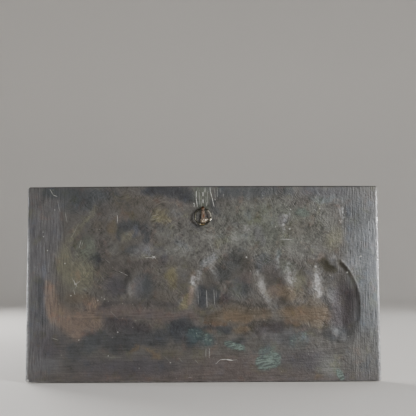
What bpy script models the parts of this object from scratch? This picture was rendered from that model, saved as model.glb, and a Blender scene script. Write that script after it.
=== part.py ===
"""Cast relief plaque with a hanging ring.

Three pieces: the cast plate, a folded strip lug soldered to its back, and a wire ring that
swings in the lug. The carved side faces -Y and the hollow back faces +Y, with the flat of the
back in the plane y = 0. The origin lies in that plane, behind the axis on which the ring swings.

The plate is laid out in millimetres: u runs to the right as one looks at the back (so x = -u),
v runs up from the bottom edge. HANG_V is the height of the ring's axis above the bottom edge.
"""

import math

import bmesh
import bpy
import numpy as np

# ---------------------------------------------------------------- sizes, in millimetres
MM = 0.001
WIDTH = 350.0
HEIGHT = 194.0
HALF = WIDTH / 2
BOW = 0.6            # how far the top and bottom edges bulge at mid length
CORNER_R = 2.2       # corners of the outline
EDGE_R = 1.4         # rounded edge at front and back
RIM_DEPTH = 7.2      # thickness through the frame moulding
RIM_WIDTH = 10.0
FIELD = 3.9          # thickness of the plain field
MIN_WALL = 2.0       # thinnest metal over a hollow
HANG_V = 171.0       # height of the ring's axis
STEP = 1.55          # lattice spacing before the mesh is thinned out
KEEP = 0.062         # share of the lattice's triangles that is kept

RING_R = 8.0         # centreline of the wire ring
WIRE_R = 0.85
STRIP_W = 3.2        # width of the lug's strip
STRIP_T = 0.8        # its thickness
EYE_R = 1.38         # inside of the fold that holds the ring
GAP = 0.3            # solder gap between the lug and the plate
LUG_LOW = -13.6      # lower end of the strip
AXIS_Y = GAP + STRIP_T + EYE_R

# the big storage jar at the right of the back view
JAR_U, JAR_V, JAR_RU, JAR_RV = 118.0, 71.0, 38.6, 55.5
# the tall ewer at the left of the back view
EWER_U, EWER_R = -130.0, 27.0
TABLE_TOP, CLOTH_LOW, GROUND = 76.0, 51.0, 30.0
TABLE_L, TABLE_R = -108.0, 112.0


# ---------------------------------------------------------------- shaping functions
def smooth(a, b, x):
    t = np.clip((x - a) / (b - a), 0.0, 1.0)
    return t * t * (3.0 - 2.0 * t)


def dish(u, v, cu, cv, ru, rv, depth, left=0.5, right=0.5, tilt=0.0, power=2.4):
    """A soft-edged oval hollow. left and right are the shares of its radius taken by each wall."""
    c, s = math.cos(math.radians(tilt)), math.sin(math.radians(tilt))
    x, y = (u - cu) * c + (v - cv) * s, (v - cv) * c - (u - cu) * s
    r = (np.abs(x / ru) ** power + np.abs(y / rv) ** power) ** (1.0 / power)
    side = smooth(-0.6, 0.6, x / ru)
    wall = left * (1.0 - side) + right * side
    return depth * (1.0 - smooth(1.0 - wall, 1.0, r))


def pit(u, v, depth, corners, walls):
    """A hollow with straight sides: corners run anticlockwise, and walls are the widths of the
    slopes along the sides that start at each corner."""
    f = np.full(np.shape(u), float(depth))
    for (a, b), (c, d), w in zip(corners, corners[1:] + corners[:1], walls):
        n = math.hypot(c - a, d - b)
        inside = ((c - a) * (v - b) - (d - b) * (u - a)) / n
        f = f * smooth(0.0, w, inside)
    return f


def ledge(u, v, cu, cv, half, lean, wall, drop, spread):
    """A gouge along a short line that leans lean degrees to the right: a steep left side wall
    wide, drop deep, that comes up again over spread."""
    c, s = math.cos(math.radians(lean)), math.sin(math.radians(lean))
    along, across = (u - cu) * s + (v - cv) * c, (u - cu) * c - (v - cv) * s
    ends = np.exp(-(along / half) ** 4)
    return drop * ends * (0.5 + 0.5 * np.tanh(1.6 * across / wall)) * np.exp(-(np.maximum(across, 0.0) / spread) ** 2)


def blend_max(a, b, k):
    """The larger of two heights, run together over about k."""
    h = np.maximum(k - np.abs(a - b), 0.0) / k
    return np.maximum(a, b) + h * h * k * 0.25


def jar_radius(u, v):
    return np.sqrt(((u - JAR_U) / JAR_RU) ** 2 + ((v - JAR_V) / JAR_RV) ** 2)


def wander(u, v):
    """The pattern was shaped by hand, so its hollows are never quite true: shift each point a little."""
    du = 1.5 * np.sin(v / 13.0 + 0.6) + 0.9 * np.sin((u + 1.7 * v) / 11.0) + 0.5 * np.sin((u - v) / 5.3 + 1.0)
    dv = 1.3 * np.sin(u / 15.0 + 1.9) + 0.8 * np.sin((u - 1.3 * v) / 9.0 + 0.4) + 0.5 * np.sin((u + v) / 6.1)
    return u + du, v + dv


def jar_hollow(u, v):
    """Behind the jar: a steep curved wall on the right, steps on the left, a tongue of flat metal
    at the top and lumps at the foot."""
    inside = (1.0 - jar_radius(u, v)) * 42.0
    lower = 1.0 - smooth(32.0, 66.0, v)
    wall = smooth(0.0, 4.0 + 12.0 * lower, inside) * (0.46 + 0.54 * smooth(2.5, 20.0, inside))
    u, v = 0.6 * u + 0.4 * wander(u, v)[0], 0.6 * v + 0.4 * wander(u, v)[1]
    deep = smooth(106.0, 124.0, u) * (1.1 - 0.4 * lower) + (2.7 - 0.9 * lower) * smooth(116.0, 144.0, u - 4.0 * lower)
    steps = ledge(u, v, 114.5, 98.0, 14.0, -4.0, 4.6, 2.0, 10.0) + ledge(u, v, 127.0, 84.0, 11.0, -14.0, 6.0, 0.8, 15.0)
    tongue = dish(u, v, 129.0, 120.5, 9.0, 10.5, 1.0, 0.5, 0.4, 12.0)
    lumps = dish(u, v, 128.5, 47.0, 5.5, 6.0, 0.6, 1.0, 1.0, 0.0, 2.0) + dish(u, v, 136.0, 41.0, 6.5, 6.0, 0.9, 1.0, 1.0, 15.0, 2.0)
    return np.maximum(wall * (deep + steps) * (1.0 - tongue) - lumps, 0.0)


def hollow(u, v):
    """Depth of the back below its flat border."""
    total = jar_hollow(u, v)
    margin = smooth(9.0, 15.0, HALF - np.abs(u)) * smooth(9.0, 14.0, np.minimum(v, HEIGHT - v))
    u, v = wander(u, v)
    # the pieces that stand on the table, from the left
    total = total + dish(u, v, -88.0, 99.0, 15.0, 17.0, 0.5, 0.9, 0.5, 0.0, 2.0)
    total += dish(u, v, -60.0, 93.0, 17.0, 19.0, 1.3, 0.8, 0.95, 8.0, 2.1) + ledge(u, v, -71.0, 91.0, 9.0, 2.0, 3.0, 0.6, 9.0)
    total += dish(u, v, -33.0, 99.0, 9.5, 13.0, 0.6, 1.0, 1.0, 0.0, 2.0)
    total += dish(u, v, -18.0, 82.0, 6.5, 11.0, 0.6, 1.0, 1.0, -18.0, 2.0) + ledge(u, v, -15.5, 81.0, 10.0, 30.0, 3.2, 0.5, 8.0)
    total += pit(u, v, 1.9, [(-22.0, 66.0), (31.0, 67.0), (11.0, 109.0), (-2.0, 114.0)], [13.0, 13.0, 9.0, 11.0])
    total += ledge(u, v, -8.0, 105.0, 11.0, 11.0, 3.6, 1.2, 9.0) + ledge(u, v, 9.0, 119.5, 9.0, 28.0, 2.2, 0.6, 7.0)
    total += ledge(u, v, 10.5, 106.5, 10.0, -22.0, 3.2, 0.6, 8.0) + ledge(u, v, 23.0, 90.0, 9.0, 0.0, 2.0, 0.4, 6.0)
    total += pit(u, v, 1.4, [(-13.0, 99.0), (40.0, 97.0), (51.0, 118.0), (34.0, 130.0), (14.0, 128.0)], [14.0, 10.0, 11.0, 10.0, 10.0])
    total += dish(u, v, 38.0, 92.0, 11.0, 17.0, 0.8, 0.9, 0.9, 0.0, 2.0) + ledge(u, v, 43.0, 108.0, 7.0, -5.0, 1.6, 0.35, 4.5)
    total += pit(u, v, 1.0, [(62.0, 63.0), (92.0, 63.0), (87.0, 100.0), (67.0, 116.0), (53.0, 108.0)], [14.0, 11.0, 17.0, 16.0, 9.0])
    total += ledge(u, v, 56.5, 103.5, 6.5, -10.0, 3.4, 0.6, 6.0) + ledge(u, v, 63.0, 90.0, 10.5, -12.0, 9.0, 1.3, 14.0)
    total += ledge(u, v, 74.0, 119.0, 7.0, 0.0, 1.8, 0.4, 5.5) + ledge(u, v, 84.5, 107.0, 8.5, -3.0, 6.0, 1.0, 10.0)
    total += dish(u, v, 95.0, 101.0, 13.0, 17.0, 0.9, 0.8, 1.0, 6.0, 2.0)
    total += dish(u, v, 101.0, 82.0, 9.0, 9.0, 0.5, 0.9, 0.9, 0.0, 2.0)
    # the tall ewer
    total += dish(u, v, -129.0, 90.0, 31.0, 58.0, 1.2, 0.34, 0.8, -5.0, 2.6)
    # the long hollow behind the table's edge, and the dents below it
    along = smooth(-112.0, -98.0, u) * (1.0 - smooth(112.0, 134.0, u))
    band = 0.55 * (1.0 - smooth(69.5, 78.5, v)) * smooth(24.0, 50.0, v)
    total += band * along
    total += dish(u, v, -13.0, 48.0, 17.0, 10.5, 1.1, 0.95, 0.95, 0.0, 2.0)
    total += dish(u, v, 32.0, 44.0, 14.0, 10.0, 0.7, 0.95, 0.95, 0.0, 2.0)
    total += dish(u, v, 64.0, 51.0, 23.0, 8.0, 1.0, 0.9, 0.9, 0.0, 2.0)
    total += dish(u, v, 104.0, 46.0, 13.0, 9.0, 0.7, 0.95, 0.95, 0.0, 2.0)
    total += dish(u, v, -92.0, 45.0, 12.0, 14.0, 0.8, 0.95, 0.95, 0.0, 2.0)
    total += dish(u, v, -55.0, 46.0, 24.0, 10.0, 0.5, 0.95, 0.95, 0.0, 2.0)
    # faint hollows behind the swags, and a knock near the upper right corner
    total += dish(u, v, -69.0, 145.0, 19.0, 12.0, 0.8, 0.95, 0.95, 0.0, 2.0)
    total += dish(u, v, 100.0, 148.0, 30.0, 13.0, 0.35, 0.95, 0.95, 0.0, 2.0)
    total += ledge(u, v, 139.5, 166.5, 6.0, -3.0, 1.5, 0.6, 4.0)
    return np.maximum(total, 0.0) * margin


def turned(u, v, centre, stations, flat):
    """Relief of a turned vessel: stations are (v, radius) from foot to lip, joined by an easy
    curve, and flat is the relief's height for each millimetre of radius."""
    heights = np.array([s[0] for s in stations])
    radii = np.array([s[1] for s in stations])
    r = np.zeros(np.shape(v))
    for (v0, v1), (r0, r1) in zip(zip(heights, heights[1:]), zip(radii, radii[1:])):
        part = (v >= v0) & (v <= v1)
        r = np.where(part, r0 + (r1 - r0) * smooth(v0, v1, v), r)
    inside = np.maximum(r * r - (u - centre) ** 2, 0.0)
    return flat * np.sqrt(inside)


def ball(u, v, cu, cv, r, high, ru=None):
    q = 1.0 - ((u - cu) / (ru or r)) ** 2 - ((v - cv) / r) ** 2
    return high * np.sqrt(np.maximum(q, 0.0))


def stroke(u, v, path, radius, high):
    """A round-backed strip along a path of points."""
    best = np.full(np.shape(u), 1e9)
    for (a, b), (c, d) in zip(path, path[1:]):
        length = max((c - a) ** 2 + (d - b) ** 2, 1e-9)
        t = np.clip(((u - a) * (c - a) + (v - b) * (d - b)) / length, 0.0, 1.0)
        best = np.minimum(best, (u - a - t * (c - a)) ** 2 + (v - b - t * (d - b)) ** 2)
    return high * np.sqrt(np.maximum(1.0 - best / radius ** 2, 0.0))


def arc(cu, cv, ru, rv, start, end, count=14):
    angles = [math.radians(start + (end - start) * i / count) for i in range(count + 1)]
    return [(cu + ru * math.cos(a), cv + rv * math.sin(a)) for a in angles]


def festoon(centre, half, top, sag, count=22):
    return [(centre + half * t, top - sag * (1.0 - t * t)) for t in np.linspace(-1.0, 1.0, count + 1)]


def frame_moulding(d):
    """Height of the frame above the field at a distance d from the outline."""
    full = RIM_DEPTH - FIELD
    h = full * (1.0 - 0.45 * smooth(4.2, 6.4, d))
    h = h - (h - 0.0) * smooth(8.4, RIM_WIDTH, d)
    return h + 0.35 * np.exp(-((d - 7.6) / 0.9) ** 2)


def relief(u, v, d):
    """Height of the carving above the field."""
    h = np.zeros(np.shape(u))
    # ground, table legs, hanging cloth and table board
    h = np.maximum(h, 2.2 * smooth(GROUND + 1.2, GROUND - 1.2, v) * smooth(6.0, 9.0, d) + 0.5 * smooth(GROUND, 12.0, v))
    for leg in np.linspace(TABLE_L + 26.0, TABLE_R - 44.0, 4):
        h = np.maximum(h, turned(u, v, leg, [(27.0, 5.0), (31.0, 4.4), (35.0, 3.0), (44.0, 4.6), (53.0, 3.6)], 0.62))
    along = smooth(TABLE_L - 1.0, TABLE_L + 1.0, u) * (1.0 - smooth(TABLE_R, TABLE_R + 2.0, u))
    scallop = CLOTH_LOW + 3.2 * np.abs(np.sin((u - TABLE_L) * math.pi / 27.5)) ** 0.8
    folds = 0.45 * np.cos((u - TABLE_L) * 2.0 * math.pi / 9.2) * smooth(TABLE_TOP - 3.0, CLOTH_LOW, v)
    cloth = (3.0 + folds) * smooth(-0.9, 0.9, v - scallop) * (1.0 - smooth(TABLE_TOP - 2.0, TABLE_TOP, v))
    board = 4.3 * smooth(TABLE_TOP - 5.2, TABLE_TOP - 4.0, v) * (1.0 - smooth(TABLE_TOP, TABLE_TOP + 1.2, v))
    h = np.maximum(h, np.maximum(cloth, board) * along)
    # bread basket
    basket = 4.0 * np.sqrt(np.maximum(1.0 - ((u + 88.0) / np.maximum(12.0 + 0.25 * (v - 76.0), 4.0)) ** 2, 0.0))
    h = np.maximum(h, basket * smooth(75.5, 76.5, v) * (1.0 - smooth(87.5, 89.0, v)))
    for cu, cv, ru in ((-94.5, 90.0, 7.0), (-82.0, 90.5, 7.0), (-88.5, 94.5, 7.5)):
        h = np.maximum(h, ball(u, v, cu, cv, 4.8, 3.6, ru))
    # round jug with a handle
    h = np.maximum(h, stroke(u, v, arc(-46.5, 101.0, 7.5, 10.0, -95.0, 110.0), 1.7, 2.6))
    h = np.maximum(h, turned(u, v, -60.0, [(76.0, 8.0), (78.5, 6.5), (93.0, 15.0), (109.0, 6.0), (114.0, 5.2), (118.5, 8.2), (120.0, 8.2)], 0.34))
    # goblets
    for centre in (-33.0, 44.0):
        h = np.maximum(h, turned(u, v, centre, [(76.0, 8.0), (77.6, 7.6), (80.0, 2.0), (88.0, 1.8), (90.0, 3.2), (92.0, 2.4), (98.0, 7.6), (107.0, 8.6)], 0.42))
    # footed bowl heaped with fruit
    for row, n in enumerate((4, 3, 2, 1)):
        for i in range(n):
            h = np.maximum(h, ball(u, v, 4.0 + (i - (n - 1) / 2.0) * 11.2, 99.5 + row * 8.6, 6.3, 4.6 - 0.25 * row))
    for cu, high in ((-12.5, 3.4), (20.5, 3.6)):
        h = np.maximum(h, ball(u, v, cu, 81.5, 5.6, high))
    h = np.maximum(h, turned(u, v, 4.0, [(76.0, 12.0), (78.0, 11.5), (81.0, 3.6), (86.0, 3.6), (88.0, 15.0), (96.5, 24.0), (98.5, 25.0)], 0.205))
    # carafe
    h = np.maximum(h, stroke(u, v, arc(59.5, 106.0, 6.5, 10.5, 60.0, 255.0), 1.6, 2.8))
    h = np.maximum(h, turned(u, v, 70.0, [(76.0, 9.0), (78.0, 9.0), (90.0, 15.5), (107.0, 4.6), (119.0, 3.8), (124.0, 6.6), (125.5, 6.6)], 0.36))
    # tall ewer with a looped handle
    h = np.maximum(h, stroke(u, v, arc(-148.0, 133.0, 12.5, 28.0, 62.0, 262.0, 18), 2.3, 3.0))
    ewer = turned(u, v, EWER_U, [(30.0, 16.0), (33.0, 15.0), (37.0, 7.0), (44.0, 8.5), (76.0, EWER_R), (112.0, 9.5), (124.0, 6.5), (150.0, 6.8), (162.0, 13.5), (164.5, 13.5)], 0.235)
    h = np.maximum(h, ewer)
    # storage jar with two ears
    for side in (-1.0, 1.0):
        h = np.maximum(h, stroke(u, v, arc(JAR_U + side * 21.0, 118.0, 8.0, 9.0, 90.0 - side * 120.0, 90.0 + side * 80.0), 2.4, 3.4))
    body = 7.6 * np.sqrt(np.maximum(1.0 - jar_radius(u, v) ** 2, 0.0))
    neck = turned(u, v, JAR_U, [(114.0, 15.5), (128.0, 12.5), (134.0, 17.5), (137.5, 17.5)], 0.27)
    foot = turned(u, v, JAR_U, [(12.0, 18.0), (16.0, 16.5), (28.0, 16.5)], 0.3)
    h = np.maximum(h, np.maximum(np.maximum(body, neck), foot))
    # vine hung in three swags, with bunches of grapes where it is tied up
    for centre in (-104.0, 0.0, 104.0):
        h = np.maximum(h, stroke(u, v, festoon(centre, 50.0, 177.0, 15.0), 3.4, 1.9))
    for centre in (-52.0, 52.0):
        for row, n in enumerate((4, 3, 2, 1)):
            for i in range(n):
                h = np.maximum(h, ball(u, v, centre + (i - (n - 1) / 2.0) * 5.6, 168.0 - row * 4.9, 3.2, 2.4))
    return h


def outline(a, b):
    """Lattice point (a, b) moved into the plate's true outline: edges slightly bowed, corners round."""
    cu, cv = np.abs(a) - (HALF - CORNER_R), np.abs(b - HEIGHT / 2) - (HEIGHT / 2 - CORNER_R)
    corner = (cu > 0) & (cv > 0)
    reach = np.maximum(cu, cv) / np.maximum(np.hypot(cu, cv), 1e-9)
    u = np.where(corner, np.sign(a) * (HALF - CORNER_R + cu * reach), a)
    v = np.where(corner, HEIGHT / 2 + np.sign(b - HEIGHT / 2) * (HEIGHT / 2 - CORNER_R + cv * reach), b)
    share = (v - HEIGHT / 2) / (HEIGHT / 2)
    return u, v - BOW * share * (u / HALF) ** 2


def edge_distance(a, b):
    return np.minimum(HALF - np.abs(a), np.minimum(b, HEIGHT - b))


def rounding(d):
    """How far the surface has fallen back at a distance d from the outline."""
    t = np.clip(EDGE_R - d, 0.0, EDGE_R)
    return EDGE_R - np.sqrt(np.maximum(EDGE_R ** 2 - t * t, 0.0))


def back_y(a, b):
    u, v = outline(a, b)
    return -(hollow(u, v) + rounding(edge_distance(a, b)))


def front_y(a, b):
    u, v = outline(a, b)
    d = edge_distance(a, b)
    rise = np.maximum(frame_moulding(d), relief(u, v, d) * smooth(RIM_WIDTH - 3.0, RIM_WIDTH + 1.0, d))
    metal = blend_max(FIELD + rise, hollow(u, v) + MIN_WALL, 0.8)
    return -(metal - rounding(d))


def lattice(length):
    """Lines across one direction: three to follow each rounded edge, the rest evenly spaced."""
    edge = [EDGE_R * (1.0 - math.sin(math.radians(w))) for w in (90.0, 60.0, 30.0)]
    count = int(round((length - 2.0 * EDGE_R) / STEP))
    middle = [EDGE_R + (length - 2.0 * EDGE_R) * i / count for i in range(count + 1)]
    return np.array(edge + middle + [length - e for e in reversed(edge)])


# ---------------------------------------------------------------- scene housekeeping
def clear_scene():
    for ob in list(bpy.data.objects):
        bpy.data.objects.remove(ob, do_unlink=True)


def collection(name):
    col = bpy.data.collections.new(name)
    bpy.context.scene.collection.children.link(col)
    return col


def material(name, colour, roughness, metallic):
    mat = bpy.data.materials.new(name)
    mat.use_nodes = True
    shader = mat.node_tree.nodes["Principled BSDF"]
    shader.inputs["Base Color"].default_value = (*colour, 1.0)
    shader.inputs["Roughness"].default_value = roughness
    shader.inputs["Metallic"].default_value = metallic
    mat.diffuse_color = (*colour, 1.0)
    return mat


def add_object(name, mesh, col, mat):
    ob = bpy.data.objects.new(name, mesh)
    col.objects.link(ob)
    mesh.materials.clear()
    mesh.materials.append(mat)
    return ob


def smooth_shade(mesh, degrees):
    mesh.shade_smooth()
    mesh.set_sharp_from_angle(angle=math.radians(degrees))


# ---------------------------------------------------------------- the plate
def sheet_of(bm, lines_a, lines_b, height):
    """A grid primitive whose points are moved to the lattice and to the surface's height."""
    made = bmesh.ops.create_grid(bm, x_segments=len(lines_a) - 1, y_segments=len(lines_b) - 1, size=1.0)["verts"]
    xs = sorted({round(p.co.x, 5) for p in made})
    ys = sorted({round(p.co.y, 5) for p in made})
    col_of, row_of = {x: i for i, x in enumerate(xs)}, {y: i for i, y in enumerate(ys)}
    a = np.array([lines_a[col_of[round(p.co.x, 5)]] for p in made]) - HALF
    b = np.array([lines_b[row_of[round(p.co.y, 5)]] for p in made])
    u, v = outline(a, b)
    y = height(a, b)
    for p, pu, pv, py in zip(made, u, v, y):
        p.co = (-pu * MM, py * MM, (pv - HANG_V) * MM)
    return made


def build_plate(col, mat):
    lines_a, lines_b = lattice(WIDTH), lattice(HEIGHT)
    bm = bmesh.new()
    sheet_of(bm, lines_a, lines_b, back_y)
    sheet_of(bm, lines_a, lines_b, front_y)
    border = [e for e in bm.edges if e.is_boundary]
    bmesh.ops.bridge_loops(bm, edges=border)
    bmesh.ops.recalc_face_normals(bm, faces=bm.faces)
    mesh = bpy.data.meshes.new("relief_plate")
    bm.to_mesh(mesh)
    bm.free()
    ob = add_object("relief_plate", mesh, col, mat)
    smooth_shade(mesh, 35.0)
    thin = ob.modifiers.new("thin_out", "DECIMATE")
    thin.decimate_type = "COLLAPSE"
    thin.ratio = KEEP
    thin.use_collapse_triangulate = True
    return ob


# ---------------------------------------------------------------- the lug
def lug_outline():
    """Side view of the folded strip, y against z: up the outer leaf, round the eye, down the inner."""
    outer = EYE_R + STRIP_T
    leaves = 2.0 * STRIP_T
    join = math.acos((outer - leaves) / outer)
    points = [(GAP, LUG_LOW), (GAP + leaves, LUG_LOW)]
    turn = [-join + (math.pi + join) * i / 16 for i in range(17)]
    points += [(AXIS_Y + outer * math.cos(t), outer * math.sin(t)) for t in turn[1:]]
    return points


def flat_curve(name, loops, half):
    """A filled outline lying in the curve's own XY plane, thickened to both sides."""
    curve = bpy.data.curves.new(name, "CURVE")
    curve.dimensions = "2D"
    curve.fill_mode = "BOTH"
    curve.extrude = half
    for loop in loops:
        line = curve.splines.new("POLY")
        line.points.add(len(loop) - 1)
        for p, (x, y) in zip(line.points, loop):
            p.co = (x, y, 0.0, 1.0)
        line.use_cyclic_u = True
    return curve


def curve_to_mesh(curve, matrix=None):
    """The curve's evaluated mesh, with the loose caps welded on."""
    ob = bpy.data.objects.new("from_curve", curve)
    bpy.context.scene.collection.objects.link(ob)
    bpy.context.view_layer.update()
    evaluated = ob.evaluated_get(bpy.context.evaluated_depsgraph_get())
    mesh = bpy.data.meshes.new_from_object(evaluated)
    bm = bmesh.new()
    bm.from_mesh(mesh)
    bmesh.ops.remove_doubles(bm, verts=bm.verts, dist=0.00001)
    bmesh.ops.recalc_face_normals(bm, faces=bm.faces)
    if matrix is not None:
        bm.transform(matrix)
    bm.to_mesh(mesh)
    bm.free()
    bpy.data.objects.remove(ob, do_unlink=True)
    return mesh


def build_lug(col, cutters, mat):
    from mathutils import Matrix

    eye = [(AXIS_Y + EYE_R * math.cos(t), EYE_R * math.sin(t)) for t in (2.0 * math.pi * i / 20 for i in range(20))]
    loops = [[(y * MM, z * MM) for y, z in loop] for loop in (lug_outline(), eye)]
    # the curve's x, y and thickness become the row's y, z and x
    turn = Matrix(((0, 0, 1, 0), (1, 0, 0, 0), (0, 1, 0, 0), (0, 0, 0, 1)))
    mesh = curve_to_mesh(flat_curve("lug_outline", loops, STRIP_W / 2 * MM), turn)
    mesh.name = "hanging_lug"
    ob = add_object("hanging_lug", mesh, col, mat)
    # the mound of solder over the strip's lower end, cut flat just clear of the plate
    bm = bmesh.new()
    bmesh.ops.create_uvsphere(bm, u_segments=16, v_segments=10, radius=1.0)
    bm.transform(Matrix.Translation((-1.3 * MM, 0.85 * MM, -11.5 * MM)) @ Matrix.Diagonal((3.5 * MM, 1.9 * MM, 2.3 * MM, 1.0)))
    cut = bmesh.ops.bisect_plane(bm, geom=bm.verts[:] + bm.edges[:] + bm.faces[:], plane_co=(0, GAP * MM, 0), plane_no=(0, -1, 0), clear_outer=True)
    bmesh.ops.contextual_create(bm, geom=[g for g in cut["geom_cut"] if isinstance(g, bmesh.types.BMEdge)])
    bmesh.ops.recalc_face_normals(bm, faces=bm.faces)
    mound = bpy.data.meshes.new("solder_mound")
    bm.to_mesh(mound)
    bm.free()
    solder = bpy.data.objects.new("solder_mound", mound)
    solder.hide_render = True
    solder.display_type = "WIRE"
    cutters.objects.link(solder)
    join = ob.modifiers.new("solder", "BOOLEAN")
    join.operation = "UNION"
    join.solver = "EXACT"
    join.object = solder
    return ob


# ---------------------------------------------------------------- the ring
def build_ring(col, mat):
    bpy.ops.mesh.primitive_torus_add(
        major_segments=28, minor_segments=10, major_radius=RING_R * MM, minor_radius=WIRE_R * MM,
        rotation=(math.pi / 2, 0.0, 0.0))
    ob = bpy.context.object
    ob.name = ob.data.name = "hanging_ring"
    bpy.ops.object.transform_apply(location=False, rotation=True, scale=True)
    for other in list(ob.users_collection):
        other.objects.unlink(ob)
    col.objects.link(ob)
    # the object's own origin goes on the swing axis, at the top of the wire
    for point in ob.data.vertices:
        point.co.z -= RING_R * MM
    ob.location = (0.0, AXIS_Y * MM, 0.0)
    ob.data.materials.append(mat)
    smooth_shade(ob.data, 60.0)
    return ob


def main():
    clear_scene()
    parts, cutters = collection("relief_plaque"), collection("cutters")
    bronze = material("bronze_patina", (0.105, 0.098, 0.090), 0.46, 0.85)
    strip = material("lug_brass", (0.180, 0.140, 0.085), 0.42, 0.9)
    wire = material("ring_wire", (0.200, 0.160, 0.100), 0.36, 0.95)
    build_plate(parts, bronze)
    build_lug(parts, cutters, strip)
    build_ring(parts, wire)


main()
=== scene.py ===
"""Relief plaque seen from the back: cast plate, soldered lug and hanging ring.

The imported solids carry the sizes. Here the plate, the lug and the ring get their fine surfaces
and their finish, and each fine piece rides on the body of the solid it stands for.
"""
import math

import bmesh
import bpy
import numpy as np
from mathutils import Matrix, Vector


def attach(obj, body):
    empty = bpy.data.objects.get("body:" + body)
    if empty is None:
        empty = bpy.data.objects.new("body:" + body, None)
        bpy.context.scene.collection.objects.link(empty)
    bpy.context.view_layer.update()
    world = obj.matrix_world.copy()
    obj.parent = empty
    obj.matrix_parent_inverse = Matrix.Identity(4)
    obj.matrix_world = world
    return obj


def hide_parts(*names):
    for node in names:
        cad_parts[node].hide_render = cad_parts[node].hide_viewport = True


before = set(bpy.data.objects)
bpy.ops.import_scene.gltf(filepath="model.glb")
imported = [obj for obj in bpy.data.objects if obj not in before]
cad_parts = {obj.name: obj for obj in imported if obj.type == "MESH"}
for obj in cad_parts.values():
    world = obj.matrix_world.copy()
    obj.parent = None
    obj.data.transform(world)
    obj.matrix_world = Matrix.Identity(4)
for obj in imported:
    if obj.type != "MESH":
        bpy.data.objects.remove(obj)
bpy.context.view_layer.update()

# ---------------------------------------------------------------- sizes, in millimetres
MM = 0.001
WIDTH = 350.0
HEIGHT = 194.0
HALF = WIDTH / 2
BOW = 0.6            # how far the top and bottom edges bulge at mid length
CORNER_R = 2.2       # corners of the outline
EDGE_R = 1.4         # rounded edge at front and back
RIM_DEPTH = 7.2      # thickness through the frame moulding
RIM_WIDTH = 10.0
FIELD = 3.9          # thickness of the plain field
MIN_WALL = 2.0       # thinnest metal over a hollow
HANG_V = 171.0       # height of the ring's axis

RING_R = 8.0         # centreline of the wire ring
WIRE_R = 0.85
STRIP_W = 3.2        # width of the lug's strip
STRIP_T = 0.8        # its thickness
EYE_R = 1.38         # inside of the fold that holds the ring
GAP = 0.3            # solder gap between the lug and the plate
LUG_LOW = -13.6      # lower end of the strip
AXIS_Y = GAP + STRIP_T + EYE_R

# the big storage jar at the right of the back view
JAR_U, JAR_V, JAR_RU, JAR_RV = 118.0, 71.0, 38.6, 55.5
# the tall ewer at the left of the back view
EWER_U, EWER_R = -130.0, 27.0
TABLE_TOP, CLOTH_LOW, GROUND = 76.0, 51.0, 30.0
TABLE_L, TABLE_R = -108.0, 112.0


# ---------------------------------------------------------------- shaping functions
def smooth(a, b, x):
    t = np.clip((x - a) / (b - a), 0.0, 1.0)
    return t * t * (3.0 - 2.0 * t)


def dish(u, v, cu, cv, ru, rv, depth, left=0.5, right=0.5, tilt=0.0, power=2.4):
    """A soft-edged oval hollow. left and right are the shares of its radius taken by each wall."""
    c, s = math.cos(math.radians(tilt)), math.sin(math.radians(tilt))
    x, y = (u - cu) * c + (v - cv) * s, (v - cv) * c - (u - cu) * s
    r = (np.abs(x / ru) ** power + np.abs(y / rv) ** power) ** (1.0 / power)
    side = smooth(-0.6, 0.6, x / ru)
    wall = left * (1.0 - side) + right * side
    return depth * (1.0 - smooth(1.0 - wall, 1.0, r))


def pit(u, v, depth, corners, walls):
    """A hollow with straight sides: corners run anticlockwise, and walls are the widths of the
    slopes along the sides that start at each corner."""
    f = np.full(np.shape(u), float(depth))
    for (a, b), (c, d), w in zip(corners, corners[1:] + corners[:1], walls):
        n = math.hypot(c - a, d - b)
        inside = ((c - a) * (v - b) - (d - b) * (u - a)) / n
        f = f * smooth(0.0, w, inside)
    return f


def ledge(u, v, cu, cv, half, lean, wall, drop, spread):
    """A gouge along a short line that leans lean degrees to the right: a steep left side wall
    wide, drop deep, that comes up again over spread."""
    c, s = math.cos(math.radians(lean)), math.sin(math.radians(lean))
    along, across = (u - cu) * s + (v - cv) * c, (u - cu) * c - (v - cv) * s
    ends = np.exp(-(along / half) ** 4)
    return drop * ends * (0.5 + 0.5 * np.tanh(1.6 * across / wall)) * np.exp(-(np.maximum(across, 0.0) / spread) ** 2)


def blend_max(a, b, k):
    """The larger of two heights, run together over about k."""
    h = np.maximum(k - np.abs(a - b), 0.0) / k
    return np.maximum(a, b) + h * h * k * 0.25


def jar_radius(u, v):
    return np.sqrt(((u - JAR_U) / JAR_RU) ** 2 + ((v - JAR_V) / JAR_RV) ** 2)


def wander(u, v):
    """The pattern was shaped by hand, so its hollows are never quite true: shift each point a little."""
    du = 1.5 * np.sin(v / 13.0 + 0.6) + 0.9 * np.sin((u + 1.7 * v) / 11.0) + 0.5 * np.sin((u - v) / 5.3 + 1.0)
    dv = 1.3 * np.sin(u / 15.0 + 1.9) + 0.8 * np.sin((u - 1.3 * v) / 9.0 + 0.4) + 0.5 * np.sin((u + v) / 6.1)
    return u + du, v + dv


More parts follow.
